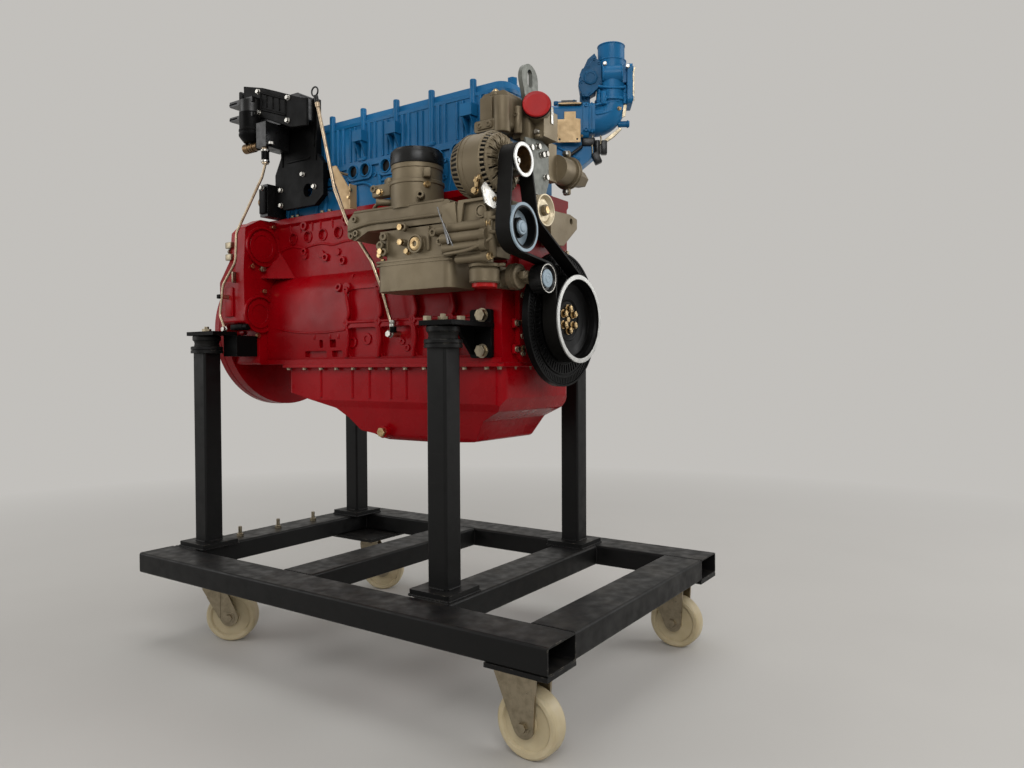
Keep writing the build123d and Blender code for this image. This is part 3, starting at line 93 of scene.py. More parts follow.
class Sheet:
    """A material's node tree while it is being wired."""

    def __init__(self, name: str) -> None:
        """Start an empty material.

        Args:
            name: the material's name.
        """
        self.material = bpy.data.materials.new(name)
        self.material.use_nodes = True
        self.tree = self.material.node_tree
        self.tree.nodes.clear()
        self.shader = self.add("ShaderNodeBsdfPrincipled")
        output = self.add("ShaderNodeOutputMaterial")
        self.wire(self.shader.outputs[0], output.inputs["Surface"])
        self.place = self.add("ShaderNodeTexCoord").outputs["Object"]

    def add(self, kind: str, **settings: object) -> bpy.types.Node:
        """Add a node and set its plain properties.

        Args:
            kind: the node's type.
            settings: property names and values.

        Returns:
            The node.
        """
        node = self.tree.nodes.new(kind)
        for key, value in settings.items():
            setattr(node, key, value)
        return node

    def wire(self, source: bpy.types.NodeSocket, target: bpy.types.NodeSocket) -> None:
        """Link one socket to another."""
        self.tree.links.new(source, target)

    def noise(self, scale: float, detail: float = 4.0, rough: float = 0.5,
              stretch: Point | None = None) -> bpy.types.NodeSocket:
        """Noise over object coordinates.

        Args:
            scale: how many features fit in a metre.
            detail: octaves of detail.
            rough: how strong the fine octaves are.
            stretch: scale along each axis, for brushed or streaked looks.

        Returns:
            The factor socket.
        """
        texture = self.add("ShaderNodeTexNoise")
        texture.inputs["Scale"].default_value = scale
        texture.inputs["Detail"].default_value = detail
        texture.inputs["Roughness"].default_value = rough
        place = self.place
        if stretch is not None:
            mapping = self.add("ShaderNodeMapping")
            mapping.inputs["Scale"].default_value = stretch
            self.wire(self.place, mapping.inputs["Vector"])
            place = mapping.outputs[0]
        self.wire(place, texture.inputs["Vector"])
        return texture.outputs["Fac"]

    def ramp(self, source: bpy.types.NodeSocket, low: float, high: float, start: float = 0.0,
             end: float = 1.0) -> bpy.types.NodeSocket:
        """Stretch a value between two limits.

        Args:
            source: the value.
            low: where the ramp starts.
            high: where it ends.
            start: the result at low.
            end: the result at high.

        Returns:
            The stretched value.
        """
        node = self.add("ShaderNodeMapRange", clamp=True)
        for key, value in (("From Min", low), ("From Max", high), ("To Min", start), ("To Max", end)):
            node.inputs[key].default_value = value
        self.wire(source, node.inputs["Value"])
        return node.outputs[0]

    def blend(self, factor: bpy.types.NodeSocket, first: Colour | bpy.types.NodeSocket,
              second: Colour | bpy.types.NodeSocket) -> bpy.types.NodeSocket:
        """Mix two colours.

        Args:
            factor: how much of the second.
            first: the first colour or socket.
            second: the second colour or socket.

        Returns:
            The mixed colour.
        """
        node = self.add("ShaderNodeMix", data_type="RGBA")
        for slot, value in ((6, first), (7, second)):
            if isinstance(value, tuple):
                node.inputs[slot].default_value = (*value, 1.0)
            else:
                self.wire(value, node.inputs[slot])
        self.wire(factor, node.inputs[0])
        return node.outputs[2]

    def maths(self, operation: str, first: bpy.types.NodeSocket | float,
              second: bpy.types.NodeSocket | float = 0.0) -> bpy.types.NodeSocket:
        """Combine two values.

        Args:
            operation: the Math node's operation.
            first: first value or socket.
            second: second value or socket.

        Returns:
            The result.
        """
        node = self.add("ShaderNodeMath", operation=operation)
        for slot, value in enumerate((first, second)):
            if isinstance(value, (int, float)):
                node.inputs[slot].default_value = value
            else:
                self.wire(value, node.inputs[slot])
        return node.outputs[0]

    def bevel(self, radius: float) -> bpy.types.NodeSocket:
        """Round the edges in the normal alone.

        Args:
            radius: how far from an edge it reaches, in metres.

        Returns:
            The bent normal.
        """
        node = self.add("ShaderNodeBevel", samples=BEVEL_SAMPLES)
        node.inputs["Radius"].default_value = radius
        return node.outputs[0]

    def edges(self, radius: float, low: float = 0.02, high: float = 0.2) -> bpy.types.NodeSocket:
        """Find the edges, where a bevelled normal leaves the plain one.

        Args:
            radius: how far from an edge it reaches, in metres.
            low: where the mask starts.
            high: where it is full.

        Returns:
            A mask that is 1 on edges.
        """
        plain = self.add("ShaderNodeNewGeometry")
        dot = self.add("ShaderNodeVectorMath", operation="DOT_PRODUCT")
        self.wire(self.bevel(radius), dot.inputs[0])
        self.wire(plain.outputs["Normal"], dot.inputs[1])
        away = self.maths("SUBTRACT", 1.0, dot.outputs["Value"])
        return self.ramp(away, low, high)

    def facing_up(self) -> bpy.types.NodeSocket:
        """Tell how far the surface faces up.

        Returns:
            A value from 0 to 1.
        """
        plain = self.add("ShaderNodeNewGeometry")
        split = self.add("ShaderNodeSeparateXYZ")
        self.wire(plain.outputs["Normal"], split.inputs[0])
        return self.ramp(split.outputs["Z"], 0.3, 1.0)

    def dusted(self, tone: bpy.types.NodeSocket, dust: Colour, share: float, cloud: bpy.types.NodeSocket
               ) -> bpy.types.NodeSocket:
        """Lay dust on the faces that look up.

        Args:
            tone: the colour under it.
            dust: the dust's colour.
            share: how much of it lies at most.
            cloud: where it lies.

        Returns:
            The dusted colour.
        """
        film = self.maths("MULTIPLY", self.facing_up(), cloud)
        return self.blend(self.maths("MULTIPLY", film, share), tone, dust)

    def coat(self, tone: bpy.types.NodeSocket, drift: bpy.types.NodeSocket, low: float, high: float) -> None:
        """Give the shader its colour, and a roughness that drifts between two values.

        Args:
            tone: the colour.
            drift: the noise that the roughness follows.
            low: the least roughness.
            high: the greatest.
        """
        self.wire(tone, self.shader.inputs["Base Color"])
        self.wire(self.ramp(drift, 0.3, 0.7, low, high), self.shader.inputs["Roughness"])

    def bump(self, height: bpy.types.NodeSocket, strength: float, depth: float,
             soft: float = 0.0) -> None:
        """Give the shader a bumped and, if asked, softened normal.

        Args:
            height: the height value.
            strength: how strong the bump is, 0 to 1.
            depth: the height's size in metres.
            soft: radius of the softened edges in metres, or 0.
        """
        node = self.add("ShaderNodeBump")
        node.inputs["Strength"].default_value = strength
        node.inputs["Distance"].default_value = depth
        self.wire(height, node.inputs["Height"])
        if soft > 0.0:
            self.wire(self.bevel(soft), node.inputs["Normal"])
        self.wire(node.outputs[0], self.shader.inputs["Normal"])

    def level(self, **values: float) -> None:
        """Set plain numbers on the shader's own sockets.

        Args:
            values: the numbers by their short names.
        """
        names = {"metal": "Metallic", "rough": "Roughness", "coat": "Coat Weight",
                 "coat_rough": "Coat Roughness", "specular": "Specular IOR Level", "sheen": "Sheen Weight"}
        for key, value in values.items():
            self.shader.inputs[names[key]].default_value = value


@dataclass(frozen=True)
class CastPaint:
    """Glossy paint over a rough casting, with dust on top faces and paler worn edges."""

    name: str
    colour: Colour
    dark: Colour
    worn: Colour
    rough: float = 0.34
    coat: float = 0.16
    grain: float = 520.0
    depth: float = 0.0006
    strength: float = 0.30
    dust: float = 0.10
    metal: float = 0.0
    specular: float = 0.5

    def build(self) -> bpy.types.Material:
        """Wire the paint's nodes.

        Returns:
            The material.
        """
        sheet = Sheet(self.name)
        broad = sheet.ramp(sheet.noise(5.0, 3.0), 0.35, 0.65)
        paint = sheet.blend(broad, self.dark, self.colour)
        cloud = sheet.ramp(sheet.noise(38.0, 5.0, 0.6), 0.52, 0.78)
        paint = sheet.dusted(paint, CAST_DUST, self.dust * 2.0, cloud)
        edge = sheet.edges(0.0016, 0.03, 0.30)
        chips = sheet.ramp(sheet.noise(160.0, 3.0, 0.6), 0.50, 0.64)
        worn = sheet.maths("MULTIPLY", edge, chips)
        paint = sheet.blend(sheet.maths("MULTIPLY", worn, 0.75), paint, self.worn)
        sheet.coat(paint, sheet.noise(24.0, 4.0), self.rough - 0.06, self.rough + 0.12)
        sheet.level(coat=self.coat, coat_rough=0.14, metal=self.metal, specular=self.specular)
        lumps = sheet.noise(90.0, 3.0)
        grains = sheet.noise(self.grain, 2.0, 0.6)
        height = sheet.maths("ADD", sheet.maths("MULTIPLY", lumps, 1.6), grains)
        sheet.bump(height, self.strength, self.depth, 0.0018)
        return sheet.material


@dataclass(frozen=True)
class Metal:
    """Bare or plated metal with stains, fine scratches and bright edges."""

    name: str
    colour: Colour
    stain: Colour
    rough: float = 0.32
    spread: float = 0.14
    metal: float = 1.0
    scratch: Point = (900.0, 900.0, 60.0)
    strength: float = 0.10
    depth: float = 0.0002
    patch: float = 26.0
    edge: float = 0.5

    def build(self) -> bpy.types.Material:
        """Wire the metal's nodes.

        Returns:
            The material.
        """
        sheet = Sheet(self.name)
        stains = sheet.ramp(sheet.noise(self.patch, 6.0, 0.62), 0.42, 0.66)
        tone = sheet.blend(stains, self.colour, self.stain)
        worn = sheet.maths("MULTIPLY", sheet.edges(0.0011, 0.03, 0.3), self.edge)
        bright = tuple(min(1.0, channel * 1.3 + 0.05) for channel in self.colour)
        tone = sheet.blend(worn, tone, bright)
        sheet.coat(tone, sheet.noise(70.0, 4.0), self.rough - self.spread / 2, self.rough + self.spread)
        sheet.level(metal=self.metal)
        sheet.bump(sheet.noise(1.0, 3.0, 0.6, self.scratch), self.strength, self.depth, 0.0010)
        return sheet.material


@dataclass(frozen=True)
class TubePaint:
    """Satin paint on welded tubes: scuffs, fine scratches and bare corners."""

    name: str
    colour: Colour
    scuff: Colour
    bare: Colour
    rough: float = 0.42

    def build(self) -> bpy.types.Material:
        """Wire the tube paint's nodes.

        Returns:
            The material.
        """
        sheet = Sheet(self.name)
        broad = sheet.ramp(sheet.noise(9.0, 4.0), 0.3, 0.7)
        tone = sheet.blend(broad, self.colour, tuple(c * 1.25 for c in self.colour))
        marks = sheet.ramp(sheet.noise(7.0, 8.0, 0.72, (1.0, 6.0, 6.0)), 0.60, 0.70)
        tone = sheet.blend(sheet.maths("MULTIPLY", marks, 0.14), tone, self.scuff)
        edge = sheet.edges(0.0022, 0.02, 0.25)
        chips = sheet.ramp(sheet.noise(42.0, 5.0, 0.66), 0.52, 0.60)
        tone = sheet.blend(sheet.maths("MULTIPLY", edge, chips), tone, self.bare)
        tone = sheet.dusted(tone, TUBE_DUST, 0.12, sheet.ramp(sheet.noise(13.0, 6.0, 0.66), 0.45, 0.75))
        sheet.coat(tone, sheet.noise(30.0, 5.0), self.rough - 0.1, self.rough + 0.16)
        sheet.level(coat=0.03, coat_rough=0.3, specular=0.16)
        sheet.bump(sheet.noise(260.0, 3.0), 0.18, 0.0004, 0.0016)
        return sheet.material


@dataclass(frozen=True)
class Moulded:
    """Moulded plastic or rubber with a fine skin, dust and softened edges."""

    name: str
    colour: Colour
    shade: Colour
    rough: float = 0.48
    grain: float = 900.0
    strength: float = 0.14
    depth: float = 0.0003
    dust: float = 0.22
    glow: float = 0.0
    specular: float = 0.34

    def build(self) -> bpy.types.Material:
        """Wire the plastic's nodes.

        Returns:
            The material.
        """
        sheet = Sheet(self.name)
        broad = sheet.ramp(sheet.noise(14.0, 4.0), 0.35, 0.65)
        tone = sheet.blend(broad, self.colour, self.shade)
        tone = sheet.dusted(tone, PLASTIC_DUST, self.dust, sheet.ramp(sheet.noise(34.0, 6.0, 0.65), 0.45, 0.72))
        sheet.coat(tone, sheet.noise(60.0, 4.0), self.rough - 0.07, self.rough + 0.1)
        sheet.level(specular=self.specular)
        if self.glow > 0.0:
            sheet.shader.inputs["Subsurface Weight"].default_value = self.glow
            sheet.shader.inputs["Subsurface Radius"].default_value = (0.004, 0.003, 0.002)
        sheet.bump(sheet.noise(self.grain, 2.0), self.strength, self.depth, 0.0012)
        return sheet.material


class Finish(Enum):
    """The finishes that the engine and the stand wear."""

    RED = CastPaint("red_casting_paint", srgb(154, 2, 15), srgb(126, 0, 8), srgb(178, 48, 50),
                    rough=0.28, coat=0.03, specular=0.12, dust=0.04)
    RED_SHEET = CastPaint("red_pan_paint", srgb(156, 3, 16), srgb(134, 0, 10), srgb(178, 48, 50),
                          rough=0.26, grain=300.0, strength=0.10, coat=0.03, specular=0.14, dust=0.04)
    BLUE = CastPaint("blue_casting_paint", srgb(30, 108, 158), srgb(22, 90, 134), srgb(104, 158, 190),
                     rough=0.34, coat=0.03, specular=0.14, dust=0.04)
    NAVY = Moulded("dark_blue_moulding", srgb(28, 88, 128), srgb(21, 72, 106), rough=0.42, dust=0.03, specular=0.14)
    ALLOY = CastPaint("alloy_casting", srgb(126, 114, 92), srgb(104, 93, 74), srgb(172, 160, 136),
                      rough=0.46, coat=0.0, metal=0.45, strength=0.36, dust=0.06, specular=0.3)
    FRAME = TubePaint("stand_paint", srgb(15, 15, 15), srgb(52, 50, 46), srgb(122, 116, 104))
    BLACK_CAST = CastPaint("black_casting_paint", srgb(13, 13, 13), srgb(9, 9, 9), srgb(84, 82, 78),
                           rough=0.36, coat=0.0, specular=0.05, dust=0.0)
    ZINC = Metal("zinc_plate", srgb(156, 145, 124), srgb(136, 126, 106), rough=0.34, patch=60.0)
    BRASS = Metal("yellow_passivated_bolt", srgb(192, 168, 126), srgb(150, 124, 88), rough=0.28, patch=90.0)
    PIPE = Metal("cream_passivated_pipe", srgb(196, 178, 152), srgb(160, 140, 118), rough=0.30, patch=34.0)
    GOLD = Metal("yellow_zinc_plate", srgb(182, 154, 113), srgb(170, 142, 102), rough=0.46, metal=0.35,
                 patch=18.0, edge=0.3)
    DISC = Metal("dished_idler_plate", srgb(206, 194, 168), srgb(188, 174, 146), rough=0.44, metal=0.6, patch=40.0)
    STEEL = Metal("turned_steel", srgb(176, 174, 168), srgb(140, 136, 128), rough=0.26, patch=30.0)
    BRIGHT = Metal("bright_rim", srgb(190, 190, 187), srgb(178, 178, 176), rough=0.34, metal=0.7, patch=30.0,
                   strength=0.03, edge=0.2)
    PALE = Moulded("pale_pulley_coat", srgb(158, 176, 188), srgb(146, 164, 176), rough=0.38, dust=0.0,
                   specular=0.2)
    BRONZE = Metal("bronze_brown_cup", srgb(120, 96, 66), srgb(88, 70, 50), rough=0.36, patch=30.0)
    PLATE = Metal("grey_steel_plate", srgb(106, 108, 102), srgb(92, 94, 89), rough=0.46, metal=0.6)
    DARK = Metal("dark_steel", srgb(58, 56, 54), srgb(38, 37, 36), rough=0.42, metal=0.85, patch=30.0)
    # the damper's own black; also worn by the dark discs and shells that are painted shade in holes, windows and
    # the pump cup
    DAMPER = CastPaint("damper_black", srgb(8, 8, 8), srgb(6, 6, 6), srgb(70, 70, 70), rough=0.36,
                       coat=0.0, specular=0.08, strength=0.10, dust=0.0)
    NYLON = Moulded("cream_wheel_nylon", srgb(196, 182, 150), srgb(180, 165, 132), rough=0.42, dust=0.2, glow=0.12,
                    specular=0.3)
    PLASTIC = Moulded("black_moulding", srgb(15, 15, 15), srgb(20, 20, 20), rough=0.30, dust=0.02, specular=0.30)
    CAP_RED = Moulded("red_cap_plastic", srgb(178, 30, 28), srgb(158, 22, 24), rough=0.34, dust=0.04, specular=0.2)
    RUBBER = Moulded("mount_block_rubber", srgb(18, 18, 17), srgb(25, 24, 22), rough=0.60, dust=0.05, specular=0.14)
    BELT = Moulded("ribbed_belt_rubber", srgb(15, 14, 13), srgb(21, 20, 18), rough=0.50, dust=0.0, specular=0.12)

    def material(self) -> bpy.types.Material:
        """The finish's material, made once."""
        made = bpy.data.materials.get(self.value.name)
        return made if made is not None else self.value.build()


NODE_FINISHES: dict[Finish, tuple[str, ...]] = {
    Finish.FRAME: ("side_beams", "cross_beams", "post_feet", "posts", "corner_plates", "mount_plates"),
    Finish.BLACK_CAST: ("mount_brackets", "module_bracket"),
    Finish.ZINC: ("fixed_forks", "swivel_tops", "swivel_fork_near", "swivel_fork_far", "stand_bolts"),
    Finish.BRASS: ("engine_bolts", "crank_bolts"),
    Finish.NYLON: ("wheel_rear_near", "wheel_rear_far", "wheel_front_near", "wheel_front_far"),
    Finish.RUBBER: ("mount_rubbers",),
    Finish.RED: ("engine_block", "gear_case", "flywheel_housing", "front_cover", "blanking_covers"),
    Finish.RED_SHEET: ("oil_pan",),
    Finish.BLUE: ("cylinder_head", "valve_cover", "filler_plug", "intake_duct", "throttle_body"),
    Finish.NAVY: ("throttle_motor",),
    Finish.ALLOY: ("oil_module", "oil_cooler", "alternator_housing", "coolant_outlet", "pump_housings",
                   "side_outlets", "tensioner_arm", "coolant_tube"),
    Finish.STEEL: ("alternator_pulley", "throttle_plate"),
    Finish.PALE: ("pump_pulley",),
    Finish.GOLD: ("zinc_brackets",),
    Finish.DISC: ("disc_idler",),
    Finish.PLATE: ("front_plates",),
    Finish.PIPE: ("rigid_pipes",),
    Finish.DARK: ("alternator_rotor", "crankshaft", "flywheel"),
    Finish.DAMPER: ("damper", "crank_pulley"),
    Finish.PLASTIC: ("filter_cap", "tensioner_roller", "filter_module", "sensor_block", "dipstick"),
    Finish.CAP_RED: ("transport_caps",),
    Finish.BELT: ("drive_belt",),
}


MM = 0.001
CRANK_LINE = 27.0
CRANK_HEIGHT = 950.0

# Where each shaft of the belt drive stands, as Y and Z, and the filter's axis, as X and Y
CRANK = (0.0, CRANK_HEIGHT)
ALTERNATOR = (-262.0, 1310.0)
COOLANT_PUMP = (-259.0, 1153.0)
IDLER = (-157.0, 1210.0)
ROLLER = (-148.0, 1043.5)
TENSIONER = (-206.0, 1048.0)
OIL_FILTER = (150.0, -225.0)

FRONT: Point = (1, 0, 0)
REAR: Point = (-1, 0, 0)
NEAR: Point = (0, -1, 0)
AWAY: Point = (0, 1, 0)
UP: Point = (0, 0, 1)
DOWN: Point = (0, 0, -1)
STAND = "stand_and_engine"


@dataclass(frozen=True)
class BoltShares:
    """A flanged bolt's measures as shares of its width across the flats."""

    flange: float = 0.16
    head: float = 0.52
    foot: float = 0.70
    rim: float = 0.62
    corner: float = 0.577
    soft: float = 0.07


BOLT = BoltShares()
WELD_PITCH = 4.4


class Shape:
    """A mesh being modelled with bmesh operators, in millimetres, in the CAD's frame."""

    def __init__(self) -> None:
        """Start with nothing."""
        self.mesh = bmesh.new()

    @staticmethod
    def seat(foot: Point, axis: Point) -> Matrix:
        """Give the turn and move that take the Z axis to a seat.

        Args:
            foot: where the seat stands.
            axis: which way it faces.

        Returns:
            The matrix.
        """
        turn = Vector(UP).rotation_difference(Vector(axis).normalized())
        return Matrix.Translation(Vector(foot)) @ turn.to_matrix().to_4x4()

    @staticmethod
    def soften(part: bmesh.types.BMesh, edges: list[bmesh.types.BMEdge], radius: float,
               segments: int = 2) -> None:
        """Bevel some edges of a part."""
        bmesh.ops.bevel(part, geom=edges, offset=radius, offset_type="OFFSET", segments=segments,
                        profile=0.5, affect="EDGES", material=-1, clamp_overlap=True)

    def join(self, part: bmesh.types.BMesh, places: Iterable[Matrix]) -> None:
        """Add copies of a finished part.

        Args:
            part: the part, which is freed.
            places: where each copy goes.
        """
        stock = bpy.data.meshes.new("stock")
        part.to_mesh(stock)
        part.free()
        for place in places:
            start = len(self.mesh.verts)
            self.mesh.from_mesh(stock)
            self.mesh.verts.ensure_lookup_table()
            bmesh.ops.transform(self.mesh, matrix=place, verts=self.mesh.verts[start:])
        bpy.data.meshes.remove(stock)

    def rod(self, foot: Point, axis: Point, radius: float, length: float, tip: float | None = None,
            soft: float = 0.6, sides: int = 24) -> None:
        """Add a round bar or cone with softened rims.

        Args:
            foot: middle of its foot.
            axis: which way it points.
            radius: radius at the foot.
            length: how long it is.
            tip: radius at the far end, or the same.
            soft: radius of the softened rims.
            sides: facets round it.
        """
        part = bmesh.new()
        bmesh.ops.create_cone(part, cap_ends=True, cap_tris=False, segments=sides, radius1=radius,
                              radius2=radius if tip is None else tip, depth=length,
                              matrix=Matrix.Translation((0, 0, length / 2)))
        rims = [edge for edge in part.edges if abs(edge.verts[0].co.z - edge.verts[1].co.z) < 1e-5]
        self.soften(part, rims, soft)
        self.join(part, [self.seat(foot, axis)])

    def block(self, centre: Point, size: Point, soft: float = 1.5, turn: Point = (0, 0, 0)) -> None:
        """Add a block with softened edges.

        Args:
            centre: its middle.
            size: its length along each axis.
            soft: radius of the edges.
            turn: turn about X, Y and Z, in degrees.
        """
        part = bmesh.new()
        bmesh.ops.create_cube(part, size=1, matrix=Matrix.Diagonal((*size, 1)))
        self.soften(part, list(part.edges), soft)
        angles = Euler([math.radians(angle) for angle in turn])
        self.join(part, [Matrix.Translation(Vector(centre)) @ angles.to_matrix().to_4x4()])

    def turned(self, seats: Iterable[Seat], outline: Outline, sides: int = 32, closed: bool = False) -> None:
        """Add a turned part, spun from its outline.

        Args:
            seats: foot and axis of each copy.
            outline: radius and height of each point.
            sides: facets round it.
            closed: whether the outline's last point joins its first.
        """
        part = bmesh.new()
        points = [part.verts.new((radius, 0, height)) for radius, height in outline]
        lines = [part.edges.new(pair) for pair in zip(points, points[1:])]
        if closed:
            lines.append(part.edges.new((points[-1], points[0])))
        bmesh.ops.spin(part, geom=points + lines, cent=(0, 0, 0), axis=UP, dvec=(0, 0, 0),
                       angle=math.tau, steps=sides, use_merge=True, use_duplicate=False)
        bmesh.ops.remove_doubles(part, verts=part.verts, dist=1e-3)
        bmesh.ops.recalc_face_normals(part, faces=part.faces)
        self.join(part, [self.seat(foot, axis) for foot, axis in seats])

    def plate(self, outline: Outline, thickness: float, place: Matrix, soft: float = 0.6) -> None:
        """Add a flat plate cut to an outline.

        Args:
            outline: its corners in its own plane.
            thickness: how thick it is.
            place: where it goes.
            soft: radius of its edges.
        """
        part = bmesh.new()
        face = part.faces.new([part.verts.new((a, b, 0)) for a, b in outline])
        grown = bmesh.ops.extrude_face_region(part, geom=[face])["geom"]
        bmesh.ops.translate(part, vec=(0, 0, thickness),
                            verts=[item for item in grown if isinstance(item, bmesh.types.BMVert)])
        bmesh.ops.recalc_face_normals(part, faces=part.faces)
        self.soften(part, list(part.edges), soft, 1)
        self.join(part, [place])

    def wire(self, points: Sequence[Point], radius: float, sides: int = 3) -> None:
        """Add a bent rod that follows some points smoothly.

        Args:
            points: the points that steer it.
            radius: the rod's radius.
            sides: how fine its round is.
        """
        line = bpy.data.curves.new("bend", "CURVE")
        line.dimensions = "3D"
        line.bevel_depth = radius
        line.bevel_resolution = sides
        line.use_fill_caps = True
        spline = line.splines.new("NURBS")
        spline.points.add(len(points) - 1)
        for knot, point in zip(spline.points, points):
            knot.co = (*point, 1)
        spline.order_u = 3
        spline.use_endpoint_u = True
        spline.resolution_u = 6
        holder = bpy.data.objects.new("bend", line)
        bent = bpy.data.meshes.new_from_object(holder)
        part = bmesh.new()
        part.from_mesh(bent)
        bmesh.ops.remove_doubles(part, verts=part.verts, dist=1e-3)
        bmesh.ops.recalc_face_normals(part, faces=part.faces)
        self.join(part, [Matrix.Identity(4)])
        bpy.data.meshes.remove(bent)
        bpy.data.objects.remove(holder)
        bpy.data.curves.remove(line)

    def bolts(self, seats: Iterable[Seat], flats: float) -> None:
        """Add flanged hexagon bolts.

        Args:
            seats: foot and axis of each bolt.
            flats: width across the flats.
        """
        part = bmesh.new()
        flange = flats * BOLT.flange
        head = flats * BOLT.head
        bmesh.ops.create_cone(part, cap_ends=True, cap_tris=False, segments=14, radius1=flats * BOLT.foot,
                              radius2=flats * BOLT.rim, depth=flange,
                              matrix=Matrix.Translation((0, 0, flange / 2)))
        start = len(part.edges)
        bmesh.ops.create_cone(part, cap_ends=True, cap_tris=False, segments=6, radius1=flats * BOLT.corner,
                              radius2=flats * BOLT.corner, depth=head,
                              matrix=Matrix.Translation((0, 0, flange + head / 2)))
        part.edges.ensure_lookup_table()
        crown = [edge for edge in part.edges[start:] if min(v.co.z for v in edge.verts) > flange + head * 0.9]
        self.soften(part, crown, flats * BOLT.soft, 1)
        self.join(part, [self.seat(foot, axis) for foot, axis in seats])

    def rims(self, seats: Iterable[Seat], outer: float, inner: float, height: float, sides: int = 20) -> None:
        """Add round bosses with a blind hole.

        Args:
            seats: foot and axis of each boss.
            outer: radius of the boss.
            inner: radius of the hole.
            height: how proud it stands.
            sides: facets round it.
        """
        soft = min(0.8, (outer - inner) * 0.3)
        self.turned(seats, ((0, -0.5), (outer, -0.5), (outer, height - soft), (outer - soft, height),
                            (inner + soft * 0.5, height), (inner, height - soft * 0.5), (inner, 0.3),
                            (0, 0.3)), sides)

    def weld(self, start: Point, end: Point, radius: float = 3) -> None:
        """Lay a rippled weld bead from one point to another.

        Args:
            start: where it starts.
            end: where it ends.
            radius: the bead's radius.
        """
        run = Vector(end) - Vector(start)
        count = max(2, int(run.length / WELD_PITCH))
        step = run.length / count
        outline = [(0, 0)]
        for index in range(count):
            bulge = radius * (1 + 0.12 * math.sin(index * 2.4))
            outline += [(bulge * 0.84, index * step), (bulge, (index + 0.5) * step)]
        outline += [(radius * 0.84, run.length), (0, run.length)]
        self.turned([(start, tuple(run))], outline, 8)

    def piece(self, name: str, finish: Finish, body: str = STAND, line: float = CRANK_LINE,
              turn: float = 38) -> bpy.types.Object:
        """Close the mesh and make it a piece of the part.

        Args:
            name: the piece's name.
            finish: what it wears.
            body: the body that it rides on.
            line: how far the crankshaft's plane stands from the frame's.
            turn: the angle over which an edge stays sharp, in degrees.

        Returns:
            The object.
        """
        bmesh.ops.translate(self.mesh, vec=(0, line, 0), verts=self.mesh.verts)
        bmesh.ops.scale(self.mesh, vec=(MM, MM, MM), verts=self.mesh.verts)
        for face in self.mesh.faces:
            face.smooth = True
        limit = math.radians(turn)
        for edge in self.mesh.edges:
            edge.smooth = edge.calc_face_angle(0) < limit
        mesh = bpy.data.meshes.new(name)
        self.mesh.to_mesh(mesh)
        self.mesh.free()
        mesh.materials.append(finish.material())
        made = bpy.data.objects.new(name, mesh)
        bpy.context.scene.collection.objects.link(made)
        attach(made, body)
        log.info("%s: %d faces", name, len(mesh.polygons))
        return made


def facing(axis: Point, *feet: Point) -> list[Seat]:
    """Give each foot a seat with the same axis.

    Args:
        axis: which way the seats face.
        feet: the foot of each seat.

    Returns:
        The seats.
    """
    return [(foot, axis) for foot in feet]


def upright(foot: Point) -> Matrix:
    """Give the place of a plate that faces the near side, its outline read as X and Z.

    Args:
        foot: where the outline's own middle goes.

    Returns:
        The place.
    """
    return Matrix.Translation(foot) @ Matrix.Rotation(math.radians(90), 4, "X")


def hexagon(radius: float) -> list[tuple[float, float]]:
    """Give the corners of a hexagon.

    Args:
        radius: how far they stand from its middle.

    Returns:
        The six corners.
    """
    return [(radius * math.cos(math.tau * i / 6), radius * math.sin(math.tau * i / 6)) for i in range(6)]


def ring_seats(middle: Point, axis: Point, radius: float, count: int, start: float = 0) -> list[Seat]:
    """Give seats spread evenly on a circle round the X axis.

    Args:
        middle: the circle's middle.
        axis: which way each seat faces.
        radius: the circle's radius.
        count: how many.
        start: the first one's angle in degrees.

    Returns:
        The seats.
    """
    seats = []
    for index in range(count):
        angle = math.radians(start) + math.tau * index / count
        seats.append(((middle[0], middle[1] + radius * math.cos(angle), middle[2] + radius * math.sin(angle)),
                      axis))
    return seats


